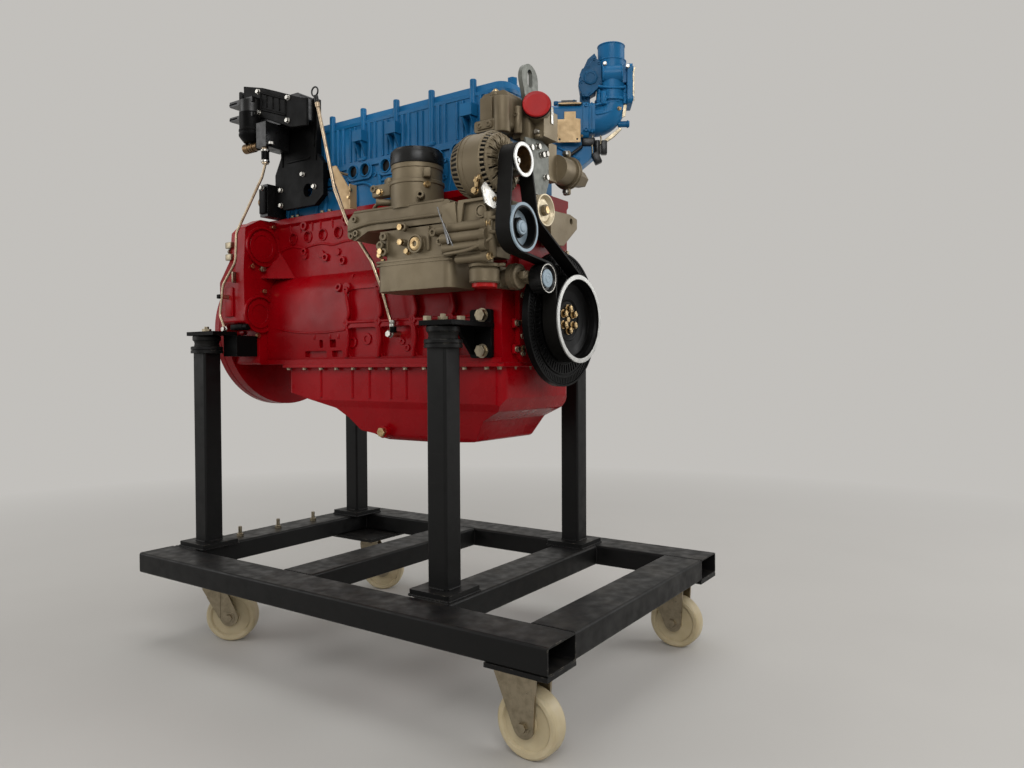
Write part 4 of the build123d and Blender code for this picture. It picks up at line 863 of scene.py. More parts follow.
@dataclass(frozen=True)
class StandTrim:
    """Welds of the stand, and the washers and caps of its castors."""

    top: float = 272
    tube_half: float = 57.5
    seam: float = 360
    end: float = 700
    cross_xs: tuple[float, ...] = (-662.5, -147, 326, 662.5)
    foot: float = 62
    post: float = 30
    foot_top: float = 287
    posts: tuple[tuple[float, float], ...] = ((312, -292), (312, 346), (-640, -292), (-640, 346))
    wheels: tuple[tuple[str, float, float, float], ...] = (
        ("front_wheel_near", 631, -396, 0), ("front_wheel_far", 631, 396, 0),
        ("rear_wheel_near", -513.55, -300.04, 34), ("rear_wheel_far", -513.55, 355.96, 34))

    def welds(self) -> None:
        """Weld the cross tubes, the feet and the posts."""
        beads = Shape()
        low = self.top - 56
        for x in self.cross_xs:
            for side in (-1, 1):
                y = side * (self.seam - 0.5)
                beads.weld((x - self.tube_half + 6, y, self.top - 1.6),
                           (x + self.tube_half - 6, y, self.top - 1.6), 2.6)
                for edge in (-self.tube_half, self.tube_half):
                    if abs(x + edge) > self.end:
                        continue
                    beads.weld((x + edge, y, low), (x + edge, y, self.top - 7), 3)
        for x, y in self.posts:
            for half, z, radius in ((self.foot, self.top, 3.4), (self.post, self.foot_top, 3.6)):
                inner = half - (7 if half == self.post else 0)
                for side in (-half, half):
                    beads.weld((x - inner, y + side, z + 0.8), (x + inner, y + side, z + 0.8), radius)
                    beads.weld((x + side, y - inner, z + 0.8), (x + side, y + inner, z + 0.8), radius)
        beads.piece("weld_beads", Finish.FRAME, line=0, turn=60)

    def hubs(self) -> None:
        """Add the bearing sleeve's bright end and the moulded rings of each wheel."""
        for body, x, y, turn in self.wheels:
            angle = math.radians(turn)
            rings = Shape()
            sleeve = Shape()
            for side in (-1, 1):
                axis = (-math.sin(angle) * side, math.cos(angle) * side, 0)
                foot = (x, y, 75)
                rings.turned([(foot, axis)],
                             ((58, 17), (58, 19.4), (59.5, 20.6), (61.5, 20.6), (63, 19.4), (63, 17)), 48)
                rings.turned([(foot, axis)], ((23, 21), (23, 25.2), (21.6, 26), (15.5, 26), (15, 25), (15, 21)),
                             32)
                sleeve.turned([(foot, axis)], ((14.6, 24), (14.6, 26.6), (10.4, 26.6), (10.4, 24)), 24)
            rings.piece(f"moulded_rings_{body}", Finish.NYLON, body, line=0)
            sleeve.piece(f"hub_sleeve_{body}", Finish.ZINC, body, line=0)

    def build(self) -> None:
        """Build all of it."""
        self.welds()
        self.hubs()


@dataclass(frozen=True)
class BlockTrim:
    """Ribs, bosses and bolts of the cylinder block, the gear case and the oil pan."""

    wall: float = -142
    skirt: float = -185
    web_xs: tuple[float, ...] = (-163, -35, 96, 227)
    web_wave: tuple[tuple[float, float], ...] = (
        (0, 1052), (1, 1030), (10, 1000), (13, 978), (0, 962), (0, 950), (7, 925),
        (9, 900), (0, 872), (0, 856))
    pan_xs: tuple[float, ...] = (-425, -352, -278.5, -212.5, -142, -72, -5.7, 60.4, 129.7, 200, 268,
                                 340, 380)

    def ribs(self) -> None:
        """Cast ribs that stand proud of the crankcase webs, on both sides."""
        ribs = Shape()
        for side in (1, -1):
            for x in self.web_xs:
                ribs.wire([(x + dx, self.skirt * side, z) for dx, z in self.web_wave], 5)
            ribs.wire([(x, (self.skirt - 0.5 + (2 if i % 2 else 0)) * side,
                        957) for i, x in enumerate((-165, -120, -75, -30, 20, 60, 100, 150, 190, 230, 290,
                                                    348))], 4.4)
            wave = [(-505, 1196), (-470, 1206), (-430, 1208), (-395, 1198), (-350, 1205), (-300, 1207),
                    (-262, 1196), (-220, 1204), (-160, 1205), (-60, 1205), (80, 1205)]
            ribs.wire([(x, (self.wall + 0.6) * side, z) for x, z in wave], 4)
            for x in (-452, -405, -352, -315, -262, -208, -150):
                ribs.wire([(x, (self.wall + 0.4) * side, 1283), (x, (self.wall + 0.4) * side, 1262),
                           (x, (self.wall + 2) * side, 1250)], 4.2)
            ribs.wire([(-500, -181 * side, 955), (-440, -184.5 * side, 942), (-380, -184.5 * side, 934),
                       (-320, -184 * side, 930), (-230, -184 * side, 930), (-168, -184 * side, 936)], 3.4)
        ribs.piece("block_ribs", Finish.RED)

    def bosses(self) -> None:
        """Bosses with threaded holes over the walls and the webs."""
        lugs = Shape()
        lugs.rims(facing(NEAR, (-387, self.wall, 1268), (-205, self.wall, 1268)), 14, 7, 7)
        lugs.rims([((x, self.wall, 1250), NEAR) for x in (-120, 30)], 12, 5.5, 6)
        lugs.rims(facing(NEAR, (-387.6, self.wall, 1187.2), (-291.2, self.wall, 1162.4),
                         (-218.4, self.wall, 1147)), 13, 6.5, 7.6)
        lugs.turned([((-440 + 67.5 * i, self.wall, 1233), NEAR) for i in range(4)],
                    ((15.6, -1), (19, -1), (19, 2.6), (18.2, 3.4), (16.4, 3.4), (15.6, 2.6)), 28, True)
        lugs.rims([((-201, -173, 1061), (0, -0.97, 0.25))], 13, 6, 9)
        lugs.rims([((x, self.skirt - 0.5, 957), NEAR) for x in self.web_xs], 12, 4.5, 4)
        lugs.rims([((x, self.skirt + 1, 1051), NEAR) for x in self.web_xs], 11, 4.5, 5)
        lugs.rims(facing(NEAR, (-150, self.skirt + 13, 900), (-92, self.skirt + 14, 908)), 17, 9, 3)
        lugs.rims(facing(NEAR, (44, -171, 898), (62, -171, 880)), 10, 4, 3)
        lugs.rims([((x, 142, 1240), AWAY) for x in (-440, -300, -160, -20, 120, 260)], 17, 12, 3)
        lugs.rims([((x, 184, 1040), AWAY) for x in self.web_xs], 12, 5, 6)
        for x in (-300, -232, -196):
            lugs.block((x, -184, 918), (10, 5, 16), 2)
        for z in (872, 938):
            lugs.block((-606, -216, z), (40, 14, 12), 3)
        for z in (937.5, 871):
            lugs.block((399.5, -132, z), (12, 26, 24), 3)
        lugs.block((-590, -272, 1032), (40, 6, 92), 2.5)
        lugs.piece("block_bosses", Finish.RED)

    def fixings(self) -> None:
        """Bolts of the pan flange, the deck, the gear case and the round covers."""
        heads = Shape()
        for side in (-1, 1):
            heads.bolts([((x, 178 * side, 826), DOWN) for x in self.pan_xs], 11)
        heads.bolts([((380, y, 826), DOWN) for y in (-110, -40, 40, 110)], 11)
        heads.bolts(facing(UP, (-440.5, -143, 1298), (-416.4, -143, 1298), (-304.6, -143, 1298),
                           (-272.8, -143, 1298)), 12)
        heads.bolts(facing(FRONT, (-511, -205, 1136), (405, -136, 937.5), (405, -136, 871)), 13)
        heads.bolts([((-640, y, z), REAR) for y, z in ((-196, 1270), (-60, 1280), (60, 1280), (176, 1272),
                                                       (-228, 1200), (224, 1190))], 13)
        heads.bolts([((406, y, z), FRONT) for y in (-112, 112) for z in (860, 905, 1010, 1075, 1145)], 11)
        heads.piece("block_bolts", Finish.ZINC)
        dark = Shape()
        dark.rims(facing(FRONT, (-516.6, -200, 1207)), 49, 36, 2.6, 48)
        dark.rims(facing(FRONT, (-517, -215, 995)), 45, 30, 2.6, 48)
        dark.piece("cover_rings", Finish.RED)

    def build(self) -> None:
        """Build all of it."""
        self.ribs()
        self.bosses()
        self.fixings()


@dataclass(frozen=True)
class HeadTrim:
    """Port rims, casting pads and screws of the cylinder head and the valve cover."""

    head_half: float = 134
    head_top: float = 1427
    lid: float = 1543
    cover_top: float = 1575
    port_xs: tuple[float, ...] = (243, 112, -19, -150, -281, -412)
    column_xs: tuple[float, ...] = (-406, -275, -144, -13, 118, 262)

    def port_rims(self) -> None:
        """Rims of the twelve ports on the near side, with dark discs set inside them as painted shade in the holes.
        """
        rims = Shape()
        plugs = Shape()
        near = -self.head_half
        seats = [((x + dx, near - 7, 1405), NEAR) for x in self.port_xs for dx in (-24.5, 24.5)]
        rims.turned(seats, ((17.2, -3), (21, -3), (21, 2.2), (19.8, 3.2), (18, 3.2), (17.2, 2.4)), 28, True)
        rims.rims([((x + 58, near, z), NEAR) for z in (1388, 1342) for x in self.port_xs], 7.5, 3.4, 3)
        for x in self.port_xs:
            rims.wire([(x - 60, near, 1300), (x - 52, near - 1, 1330), (x - 50, near - 1, 1372),
                       (x - 56, near - 5, 1392)], 6)
            rims.wire([(x - 44, near, 1366), (x - 10, near - 2, 1372), (x + 34, near - 2, 1366),
                       (x + 48, near, 1352)], 5)
            rims.wire([(x - 20, near, 1300), (x - 16, near - 1, 1336), (x - 24, near - 1, 1366)], 8)
        rims.piece("port_rims", Finish.BLUE)
        # dark discs set 8 mm inside each port: painted shade in the holes
        plugs.turned([((foot[0], foot[1] + 8, foot[2]), axis) for foot, axis in seats],
                     ((0, 0), (16.9, 0), (16.9, 2), (15, 3), (13.5, 1.6), (0, 1.2)), 28)
        plugs.piece("port_hole_shade", Finish.DAMPER)

    def cover_edges(self) -> None:
        """Lid screws, the casting's thick foot pads and the front and rear walls' ribs."""
        trim = Shape()
        seats = []
        for x in (-460, -340, -209.5, -78.5, 54, 190, 322):
            seats += [((x, side * 112, self.lid + 9.5), UP) for side in (-1, 1)]
        trim.turned(seats, ((0, -1), (8.5, -1), (8, 5), (6.8, 8.6), (4, 10.4), (0, 10.8)), 16)
        for x in self.column_xs:
            for side in (-1, 1):
                trim.rims(facing(UP, (x, side * 126, self.cover_top + 11.8)), 8.4, 4.2, 2.4)
                trim.block((x, side * 127, self.head_top + 13), (34, 20, 12), 4)
                trim.wire([(x - 54, side * 128.4, self.lid - 3), (x - 54, side * 127.4, self.head_top + 12)],
                          3.2)
                trim.wire([(x - 34, side * 128.4, self.lid - 3), (x - 34, side * 127.4, self.head_top + 12)],
                          3.2)
        for y in (-80, -30, 30, 80):
            trim.wire([(369, y, self.lid - 4), (368, y, self.head_top + 14)], 4)
            trim.wire([(-499.5, y, self.lid - 4), (-499, y, self.head_top + 14)], 4)
        for x in (-380, -250, -118, 10, 140, 270):
            trim.wire([(x, -96, self.cover_top + 0.2), (x, 0, self.cover_top + 0.6),
                       (x, 96, self.cover_top + 0.2)], 3.6)
        trim.piece("cover_ribs", Finish.BLUE)

    def build(self) -> None:
        """Build all of it."""
        self.port_rims()
        self.cover_edges()


@dataclass(frozen=True)
class ModuleTrim:
    """Bosses, plug, ribs, bolts and small pipes of the oil module, the cooler and the alternator."""

    face: float = -300

    def bosses(self) -> None:
        """Hollow bosses, cast ribs and the arm's frame."""
        lugs = Shape()
        lugs.rims(facing(NEAR, (169, self.face, 1183), (100.5, self.face, 1165), (88, self.face, 1144),
                         (267, self.face, 1159), (289, self.face, 1135), (100, self.face, 1125)), 10.5, 5, 5)
        lugs.rims(facing(NEAR, (-16.7, -288, 1224), (-11, -288, 1186), (-28, -288, 1180)), 9, 4.2, 7)
        lugs.rims([((204.2, -272, 1262), (0.55, -0.83, 0))], 10, 4.5, 26)
        lugs.rims(facing(NEAR, (204, -296, 1138)), 24, 19, 4, 32)
        lugs.block((100, -287, 1150), (8, 10, 54), 3)
        lugs.block((240, -287, 1150), (10, 8, 62), 3)
        lugs.wire([(-40, -290, 1196), (20, -291, 1210), (120, -291, 1206), (290, -291, 1204)], 4.5)
        lugs.wire([(-20, -286, 1243), (40, -286, 1243), (290, -286, 1239)], 4)
        lugs.turned(facing(UP, (*OIL_FILTER, 1300)), ((69, -2), (72.6, 0), (72.6, 8), (69, 10.5)), 48)
        lugs.turned(facing(UP, (*OIL_FILTER, 1338)), ((65, 0), (68.4, 2), (68.4, 13.5), (65, 13.5)), 48)
        lugs.block((216, -262, 1322), (20, 26, 24), 4, (0, 0, 40))
        lugs.block((84, -260, 1316), (34, 22, 20), 5, (0, 0, -30))
        lugs.block((66, -262, 1294), (66, 30, 34), 6)
        lugs.rims(facing(NEAR, (43, -277, 1300)), 10, 4.5, 5)
        lugs.rod((96, -252, 1262), (-0.75, -0.66, 0), 9, 50)
        lugs.wire([(20, -258, 1246), (40, -268, 1262), (72, -262, 1270), (96, -246, 1262)], 5)
        for x in (352, 382, 412):
            lugs.block((x, -300, 1166), (5, 12, 18), 1.5)
        for x in (372, 414):
            lugs.block((x, -301, 1126), (5, 14, 30), 1.5)
            lugs.block((x, -297, 1100), (5, 14, 20), 1.5)
        frame = upright((344, -296, 1092))
        lugs.plate(((0, 0), (90, 0), (90, 10), (12, 10), (12, 74), (90, 74), (90, 84), (12, 84), (20, 128),
                    (90, 128), (90, 136), (4, 136), (0, 120)), 7, frame, 1)
        lugs.rims(facing(NEAR, (414, -296, 1196)), 17, 12.5, 6, 28)
        lugs.rod((414, -292, 1196), NEAR, 11.5, 8)
        for bar_y, bar_z, bar_r in ((-302, 1163, 12), (-306, 1138, 13), (-306, 1114, 12),
                                    (-300, 1086, 11)):
            lugs.turned(facing(FRONT, (418, bar_y, bar_z)),
                        ((bar_r - 0.5, 0), (bar_r + 2.4, 1.5), (bar_r + 2.4, 16.5), (bar_r + 1.4, 18.6),
                         (6, 18.6), (5, 17.6), (5, 12), (0, 12)), 28)
        lugs.piece("module_bosses", Finish.ALLOY)

    def fixings(self) -> None:
        """Yellow bolts, the socket plug and the two small pipes."""
        heads = Shape()
        heads.bolts([((169.4, -285, 1122.9), NEAR), ((78, -288, 1120), NEAR),
                     ((211.4, -258.5, 1294.3), (0.87, -0.49, 0)), ((67, -277, 1288.6), NEAR),
                     ((412.5, -318, 1240), NEAR), ((436.4, -302, 1163), FRONT), ((436.4, -300, 1086), FRONT)],
                    14)
        heads.bolts([((-103.8, -221.8, 1327.7), FRONT), ((-108, -222.2, 1308), NEAR)], 8)
        heads.bolts(facing(FRONT, (443.8, -282.6, 1222.9), (431.5, -330.8, 1266.2)), 10)
        heads.bolts(facing(NEAR, (419, -322, 1262)), 10)
        heads.rod((419, -322, 1246), UP, 6, 34)
        heads.turned(facing(NEAR, (204, -294, 1138)),
                     ((0, 1), (6.4, 1), (7.2, 5.4), (15, 5.8), (17.4, 4.6), (18, 1), (18, 0), (0, 0)), 32)
        heads.bolts([((84, y, 1102.4), UP) for y in (-288, -200)], 11)
        heads.piece("module_bolts", Finish.BRASS)
        pipes = Shape()
        pipes.wire([(312, -312, 1100), (340, -322, 1099), (392, -322, 1101), (424, -318, 1112),
                    (446, -300, 1130)], 4.2)
        pipes.wire([(436, -296, 1190), (436, -296, 1160), (440, -290, 1110), (430, -282, 1092)], 14)
        pipes.wire([(430, -300, 1178), (444, -304, 1174), (458, -300, 1176)], 5)
        pipes.wire([(430, -300, 1144), (444, -304, 1140), (458, -300, 1143)], 5)
        pipes.turned(facing(UP, (396, -262, 1066)), ((36.4, 0), (38.6, 1), (38.6, 8), (36.4, 9)), 40)
        pipes.turned(facing(UP, (396, -262, 1030)), ((36.6, 0), (38, 1), (38, 4), (36.6, 5)), 40)
        pipes.block((430, -250, 1072), (34, 10, 8), 2, (0, 0, 18))
        pipes.piece("module_pipes", Finish.ALLOY)
        lever = Shape()
        lever.wire([(296, -318, 1215), (308, -326, 1196), (322, -326, 1168), (334, -322, 1140),
                    (344, -314, 1108)], 2)
        lever.wire([(318, -322, 1172), (322, -318, 1150), (330, -318, 1122)], 3.6)
        lever.piece("lever_wire", Finish.DARK)

    def cap(self) -> None:
        """Smooth band, ringed top and brown hexagon of the filter cap."""
        grip = Shape()
        grip.turned(facing(UP, (*OIL_FILTER, 1351.5)), ((66.5, 0), (70.2, 0.6), (70.8, 2.6), (70.8, 25.6),
                                                        (70, 28), (68.6, 35), (66.5, 35.4)), 64, True)
        grip.turned(facing(UP, (*OIL_FILTER, 1392.6)), ((22, 0), (22, 1.6), (24, 2.6), (42, 2.2), (43, 1.4),
                                                        (45, 1.4), (46, 2), (57, 0.9), (61, 0)), 64, True)
        grip.piece("filter_cap_grip", Finish.PLASTIC)
        crown = Shape()
        crown.plate(hexagon(18.2), 13.6, Matrix.Translation((*OIL_FILTER, 1392.4)), 1)
        crown.piece("filter_cap_hexagon", Finish.BRONZE)

    def alternator(self) -> None:
        """Bars and fins over the slotted shoulders, the housing's rims, and dark shells behind them as painted
        shade in the windows.
        """
        fins = Shape()
        for index in range(32):
            angle = math.tau * (index + 0.25) / 32
            place = Matrix.Translation((0, *ALTERNATOR)) @ Matrix.Rotation(angle, 4, "X")
            fins.plate(((447, 60), (462.5, 40), (463.4, 46), (456, 68), (448, 72.6)), 2.4,
                       place @ Matrix.Translation((0, 0, -1.2)), 0.5)
        for index in range(40):
            place = Matrix.Translation((0, *ALTERNATOR)) @ Matrix.Rotation(math.tau * index / 40, 4, "X")
            place = place @ Matrix.Translation((0, 0, -2.5))
            fins.plate(((347, 64.5), (373, 75), (373, 78.6), (347, 68.3)), 5, place, 0.5)
            fins.plate(((433.5, 74), (448, 69), (448, 73.2), (433.5, 78)), 5, place, 0.5)
        fins.turned(facing(FRONT, (345.6, *ALTERNATOR)), ((64, 0), (67.6, 0), (68.6, 2.6), (65, 2.6)), 56, True)
        fins.turned(facing(FRONT, (371.6, *ALTERNATOR)), ((74, 0), (78.2, 0), (79, 3), (75, 3)), 56, True)
        fins.turned(facing(FRONT, (429, *ALTERNATOR)), ((76.6, 0), (79, 1), (79, 7), (77, 9), (76, 9)), 56)
        fins.turned(facing(FRONT, (384, *ALTERNATOR)), ((76.6, 0), (78.2, 0.6), (78.2, 3.4), (76.6, 4)), 56)
        fins.turned(facing(FRONT, (463, *ALTERNATOR)), ((24, -4), (30, -4), (30, 1.6), (26, 2.6), (24, 2.6)),
                    32)
        fins.piece("alternator_fins", Finish.ALLOY)
        # black shells right behind the bars: painted shade, so the windows between them read dark
        dark = Shape()
        dark.turned(facing(FRONT, (438, *ALTERNATOR)),
                    ((58, 0), (66.5, 0), (66, 6), (58.5, 12), (50, 16), (46, 14)), 48, True)
        dark.turned(facing(FRONT, (346, *ALTERNATOR)), ((64, 1), (66.9, 1), (77.3, 27), (74, 27)), 56, True)
        dark.turned(facing(FRONT, (433, *ALTERNATOR)), ((73, 0.6), (76.6, 0.6), (71.8, 15), (68, 15)), 56, True)
        dark.piece("alternator_window_shade", Finish.DAMPER)

    def build(self) -> None:
        """Build all of it."""
        self.bosses()
        self.fixings()
        self.cap()
        self.alternator()


class FrontDrive:
    """Rims, cups, bolts and caps of the belt drive, and the front's small castings."""

    def pulleys(self) -> None:
        """Dress each pulley on its own body."""
        rim = Shape()
        rim.turned(facing(FRONT, (509, *CRANK)), ((103.4, 1), (115.2, 1), (115.6, 2), (115.6, 4.8),
                                                  (114.8, 5.6), (104.4, 5.6), (103.2, 4.6)), 96, True)
        rim.piece("crank_pulley_rim", Finish.BRIGHT, "crank")
        washers = Shape()
        washers.turned(ring_seats((476, *CRANK), FRONT, 29, 6, 90),
                       ((8, -0.5), (11.4, -0.5), (11.4, 1.8), (10.8, 2.4), (8, 2.4)), 20, True)
        washers.turned(ring_seats((488, *CRANK), FRONT, 29, 6, 90),
                       ((0, -0.5), (7.2, -0.5), (6.6, 1.2), (4.6, 2), (4.2, 1.2), (0, 1)), 16)
        washers.turned(facing(FRONT, (476, *CRANK)), ((0, 0), (8, 0), (8, 3), (6.6, 4.4), (0, 4.4)), 24)
        washers.piece("hub_bolt_washers", Finish.BRASS, "crank")
        steps = Shape()
        steps.turned(facing(FRONT, (478, *CRANK)), ((50, -0.5), (53, 1.6), (56, 1.8), (58, 0.4)), 64)
        steps.turned(facing(FRONT, (494, *CRANK)), ((99.6, 0), (97.4, 1), (97.4, 3), (99.6, 4)), 80)
        steps.piece("crank_pulley_steps", Finish.DAMPER, "crank")
        band = Shape()
        band.turned(facing(FRONT, (508.4, *ALTERNATOR)), ((31, 0.6), (39.8, 0.6), (40.4, 1.6), (40.4, 4.4),
                                                          (39.6, 5.4), (32, 5.4), (31, 4.6)), 56, True)
        band.piece("alternator_pulley_rim", Finish.BRIGHT, "alternator")
        cup = Shape()
        cup.turned(facing(FRONT, (480, *ALTERNATOR)),
                   ((10, 0.4), (26.2, 0.4), (27.2, 3), (30.4, 32), (31.4, 32), (27.9, 0), (10, -0.4)), 48, True)
        cup.piece("alternator_pulley_cup", Finish.BRONZE, "alternator")
        nut = Shape()
        nut.bolts(facing(FRONT, (480.2, *ALTERNATOR)), 21)
        nut.rod((480, *ALTERNATOR), FRONT, 6, 20)
        nut.piece("alternator_nut", Finish.STEEL, "alternator")
        # the cup's inner wall is dressed black as painted shade; the hexagon hub on the same piece is black of its
        # own
        floor = Shape()
        floor.turned(facing(FRONT, (480, *COOLANT_PUMP)),
                     ((42.4, 0.8), (45.3, 31.6), (46.4, 32.6), (50.4, 32.6), (50.4, 31.4), (47.4, 31.4),
                      (43.6, 0.8)), 56, True)
        floor.plate(hexagon(24.6), 19.9, Shape.seat((480.4, *COOLANT_PUMP), FRONT), 1.2)
        floor.piece("pump_pulley_shaded_wall_and_hub", Finish.DAMPER, "pump")
        boss = Shape()
        boss.turned(facing(FRONT, (500, *COOLANT_PUMP)),
                    ((0, 0), (17.2, 0), (17.2, 5), (16, 6.4), (12.6, 6.6), (12.2, 5.8), (11, 5.8), (10.8, 7.8),
                     (9.6, 8.6), (0, 8.6)), 36)
        boss.turned(facing(FRONT, (490, *COOLANT_PUMP)), ((24, -1), (44, -1), (44, 0.6), (40, 0.9), (24, 0.9)),
                    56, True)
        boss.turned(facing(FRONT, (507.4, *COOLANT_PUMP)),
                    ((50, 0.4), (57, 0.4), (57.8, 1.4), (57.8, 4.4), (57, 5.2), (51, 5.2), (50, 4.2)), 64, True)
        boss.piece("pump_pulley_boss", Finish.PALE, "pump")

    def idlers(self) -> None:
        """Disc idler's rolled lip and bolt, tensioner roller's ring and cap."""
        lip = Shape()
        lip.turned(facing(FRONT, (506, *IDLER)),
                   ((35.4, 0), (39.2, 0), (39.6, 1.2), (39, 2.6), (36.6, 2.8), (35.2, 1.8)), 48, True)
        lip.turned(facing(FRONT, (498, *IDLER)), ((14, 0), (31, 0), (30, 1.2), (24, 3), (18, 1), (14, 1.4)), 48,
                   True)
        lip.piece("disc_idler_lip", Finish.DISC, "idler")
        bolt = Shape()
        bolt.bolts(facing(FRONT, (501, *IDLER)), 17)
        bolt.piece("disc_idler_bolt", Finish.BRASS)
        ring = Shape()
        ring.turned(facing(FRONT, (507, *ROLLER)),
                    ((33.4, 0), (35.9, 0), (36.1, 0.8), (35.6, 1.8), (34, 1.8), (33.4, 1.2)), 56, True)
        ring.piece("roller_ring", Finish.STEEL, "roller")
        cap = Shape()
        cap.turned(facing(FRONT, (503, *ROLLER)),
                   ((0, 0), (22.4, 0), (22.6, 2.2), (21.4, 3.8), (13.6, 4.6), (13, 3.8), (10.8, 3.8),
                    (10.4, 4.8), (5.6, 5.2), (5.2, 4.4), (0, 4.4)), 44)
        cap.piece("roller_cap", Finish.PALE, "tensioner")
        hub = Shape()
        hub.turned(facing(FRONT, (459, -202, 1047)), ((10, -0.4), (30.4, -0.4), (30.4, 1.2), (28.6, 2.4),
                                                      (20, 2.6), (19, 1.6), (12, 1.6), (10, 2)), 40, True)
        hub.block((471, *TENSIONER), (16, 19, 19), 2.2)
        hub.turned(facing(FRONT, (478.8, *TENSIONER)),
                   ((3.6, -1), (8.2, -1), (8.2, 1), (7.4, 1.8), (4.4, 1.8), (3.6, 1)), 24, True)
        hub.piece("tensioner_boss", Finish.ALLOY, "tensioner")
        # a thin black disc just inside the boss's bore: painted shade in the hole
        hole = Shape()
        hole.turned(facing(FRONT, (477.6, *TENSIONER)), ((0, 1.3), (4.6, 1.3), (4.8, 1.6), (4.6, 1), (0, 0.9)),
                    16)
        hole.piece("tensioner_hole_shade", Finish.DAMPER, "tensioner")

    def castings(self) -> None:
        """Thermostat housing's rounded form, outlets' flanges, the plate's bolts."""
        shell = Shape()
        shell.rod((410, -205, 1403), UP, 21, 88, soft=4, sides=32)
        shell.block((372, -216, 1466), (38, 12, 58), 4)
        shell.block((370, -219, 1425), (46, 16, 22), 5)
        shell.turned(facing(UP, (385, -196, 1500)), ((0, 0), (15, 0), (14, 9), (11, 11), (0, 11)), 28)
        shell.rims(facing(NEAR, (357, -226.6, 1425), (384, -226.6, 1425)), 7, 3.4, 2.4)
        shell.rod((432, -167, 1406), UP, 11, 68, soft=3)
        shell.block((442, -140, 1421), (28, 26, 58), 4)
        shell.rims(facing(NEAR, (432, -177.4, 1452)), 6, 2.8, 3)
        shell.turned(facing(DOWN, (468, -128, 1406)), ((0, 0), (11, 0), (11, 5), (9, 7), (0, 7)), 24)
        shell.turned(facing(NEAR, (452, 46, 1348)), ((36, -2), (44, -2), (44.4, 0), (44, 3), (36, 3.4)), 44,
                     True)
        shell.block((452, 40, 1398), (22, 12, 20), 5)
        shell.block((452, 40, 1298), (22, 12, 20), 5)
        shell.rims(facing(AWAY, (452, 118, 1344)), 18, 12, 4, 28)
        shell.block((430, -40, 1354), (26, 30, 74), 6)
        shell.piece("housing_ribs", Finish.ALLOY)
        plug = Shape()
        plug.turned(facing(UP, (385, -196, 1510.6)), ((0, 0), (9, 0), (9, 3), (7.4, 4), (0, 4)), 24)
        plug.turned(facing(UP, (385, -196, 1514.6)), ((0, -0.2), (5.6, -0.2), (5.2, 3.2), (0, 3.4)), 6)
        plug.piece("housing_plug", Finish.BRASS)
        heads = Shape()
        heads.bolts(facing(FRONT, (457, -116, 1382), (457, -96, 1366), (457, -78, 1372), (457, -78, 1312),
                           (457, -150, 1372)), 13)
        heads.bolts(facing(NEAR, (452, 34, 1399), (452, 34, 1297)), 12)
        heads.bolts(facing(NEAR, (464, -128.2, 1415.8)), 11)
        heads.block((485.4, -90.5, 1462), (3.2, 12, 43), 0.9)
        heads.rims(facing(FRONT, (486.8, -90.5, 1467.6)), 4.6, 2.4, 1)
        heads.piece("front_bolts", Finish.STEEL)
        strap = Shape()
        outline = ((-324.4, 1257.5), (-310.2, 1252.1), (-273.6, 1230.7), (-263.4, 1226.6), (-265.6, 1206.2),
                   (-290.6, 1198.7), (-322.8, 1205.9), (-329.7, 1224.1), (-335.4, 1241.5))
        place = Matrix(((0, 0, 1, 440.6), (1, 0, 0, 0), (0, 1, 0, 0), (0, 0, 0, 1)))
        strap.plate(outline, 3, place, 0.6)
        strap.rims(facing(FRONT, (443.4, -318.5, 1210.3)), 5, 3, 0.8)
        strap.piece("belt_guard_strap", Finish.STEEL)
        collar = Shape()
        axis = Vector((0.51, -0.83, 0.22)).normalized()
        foot = Vector((456.5, -118, 1469)) + axis * 30.5
        collar.turned([(tuple(foot), tuple(axis))],
                      ((33.4, 0), (36.6, 0.4), (37.2, 1.6), (37, 4), (35.4, 5), (33.4, 5)), 48, True)
        collar.piece("neck_collar", Finish.DAMPER)
        lid = Shape()
        lid.turned([(tuple(foot + axis * 8), tuple(axis))],
                   ((0, 0.2), (26, 0.2), (30, 1.4), (33.4, 1.6), (35, 0), (35.2, -6), (33, -6), (0, -6)), 48)
        lid.piece("red_cap_rim", Finish.CAP_RED)

    def build(self) -> None:
        """Build all of it."""
        self.pulleys()
        self.idlers()
        self.castings()


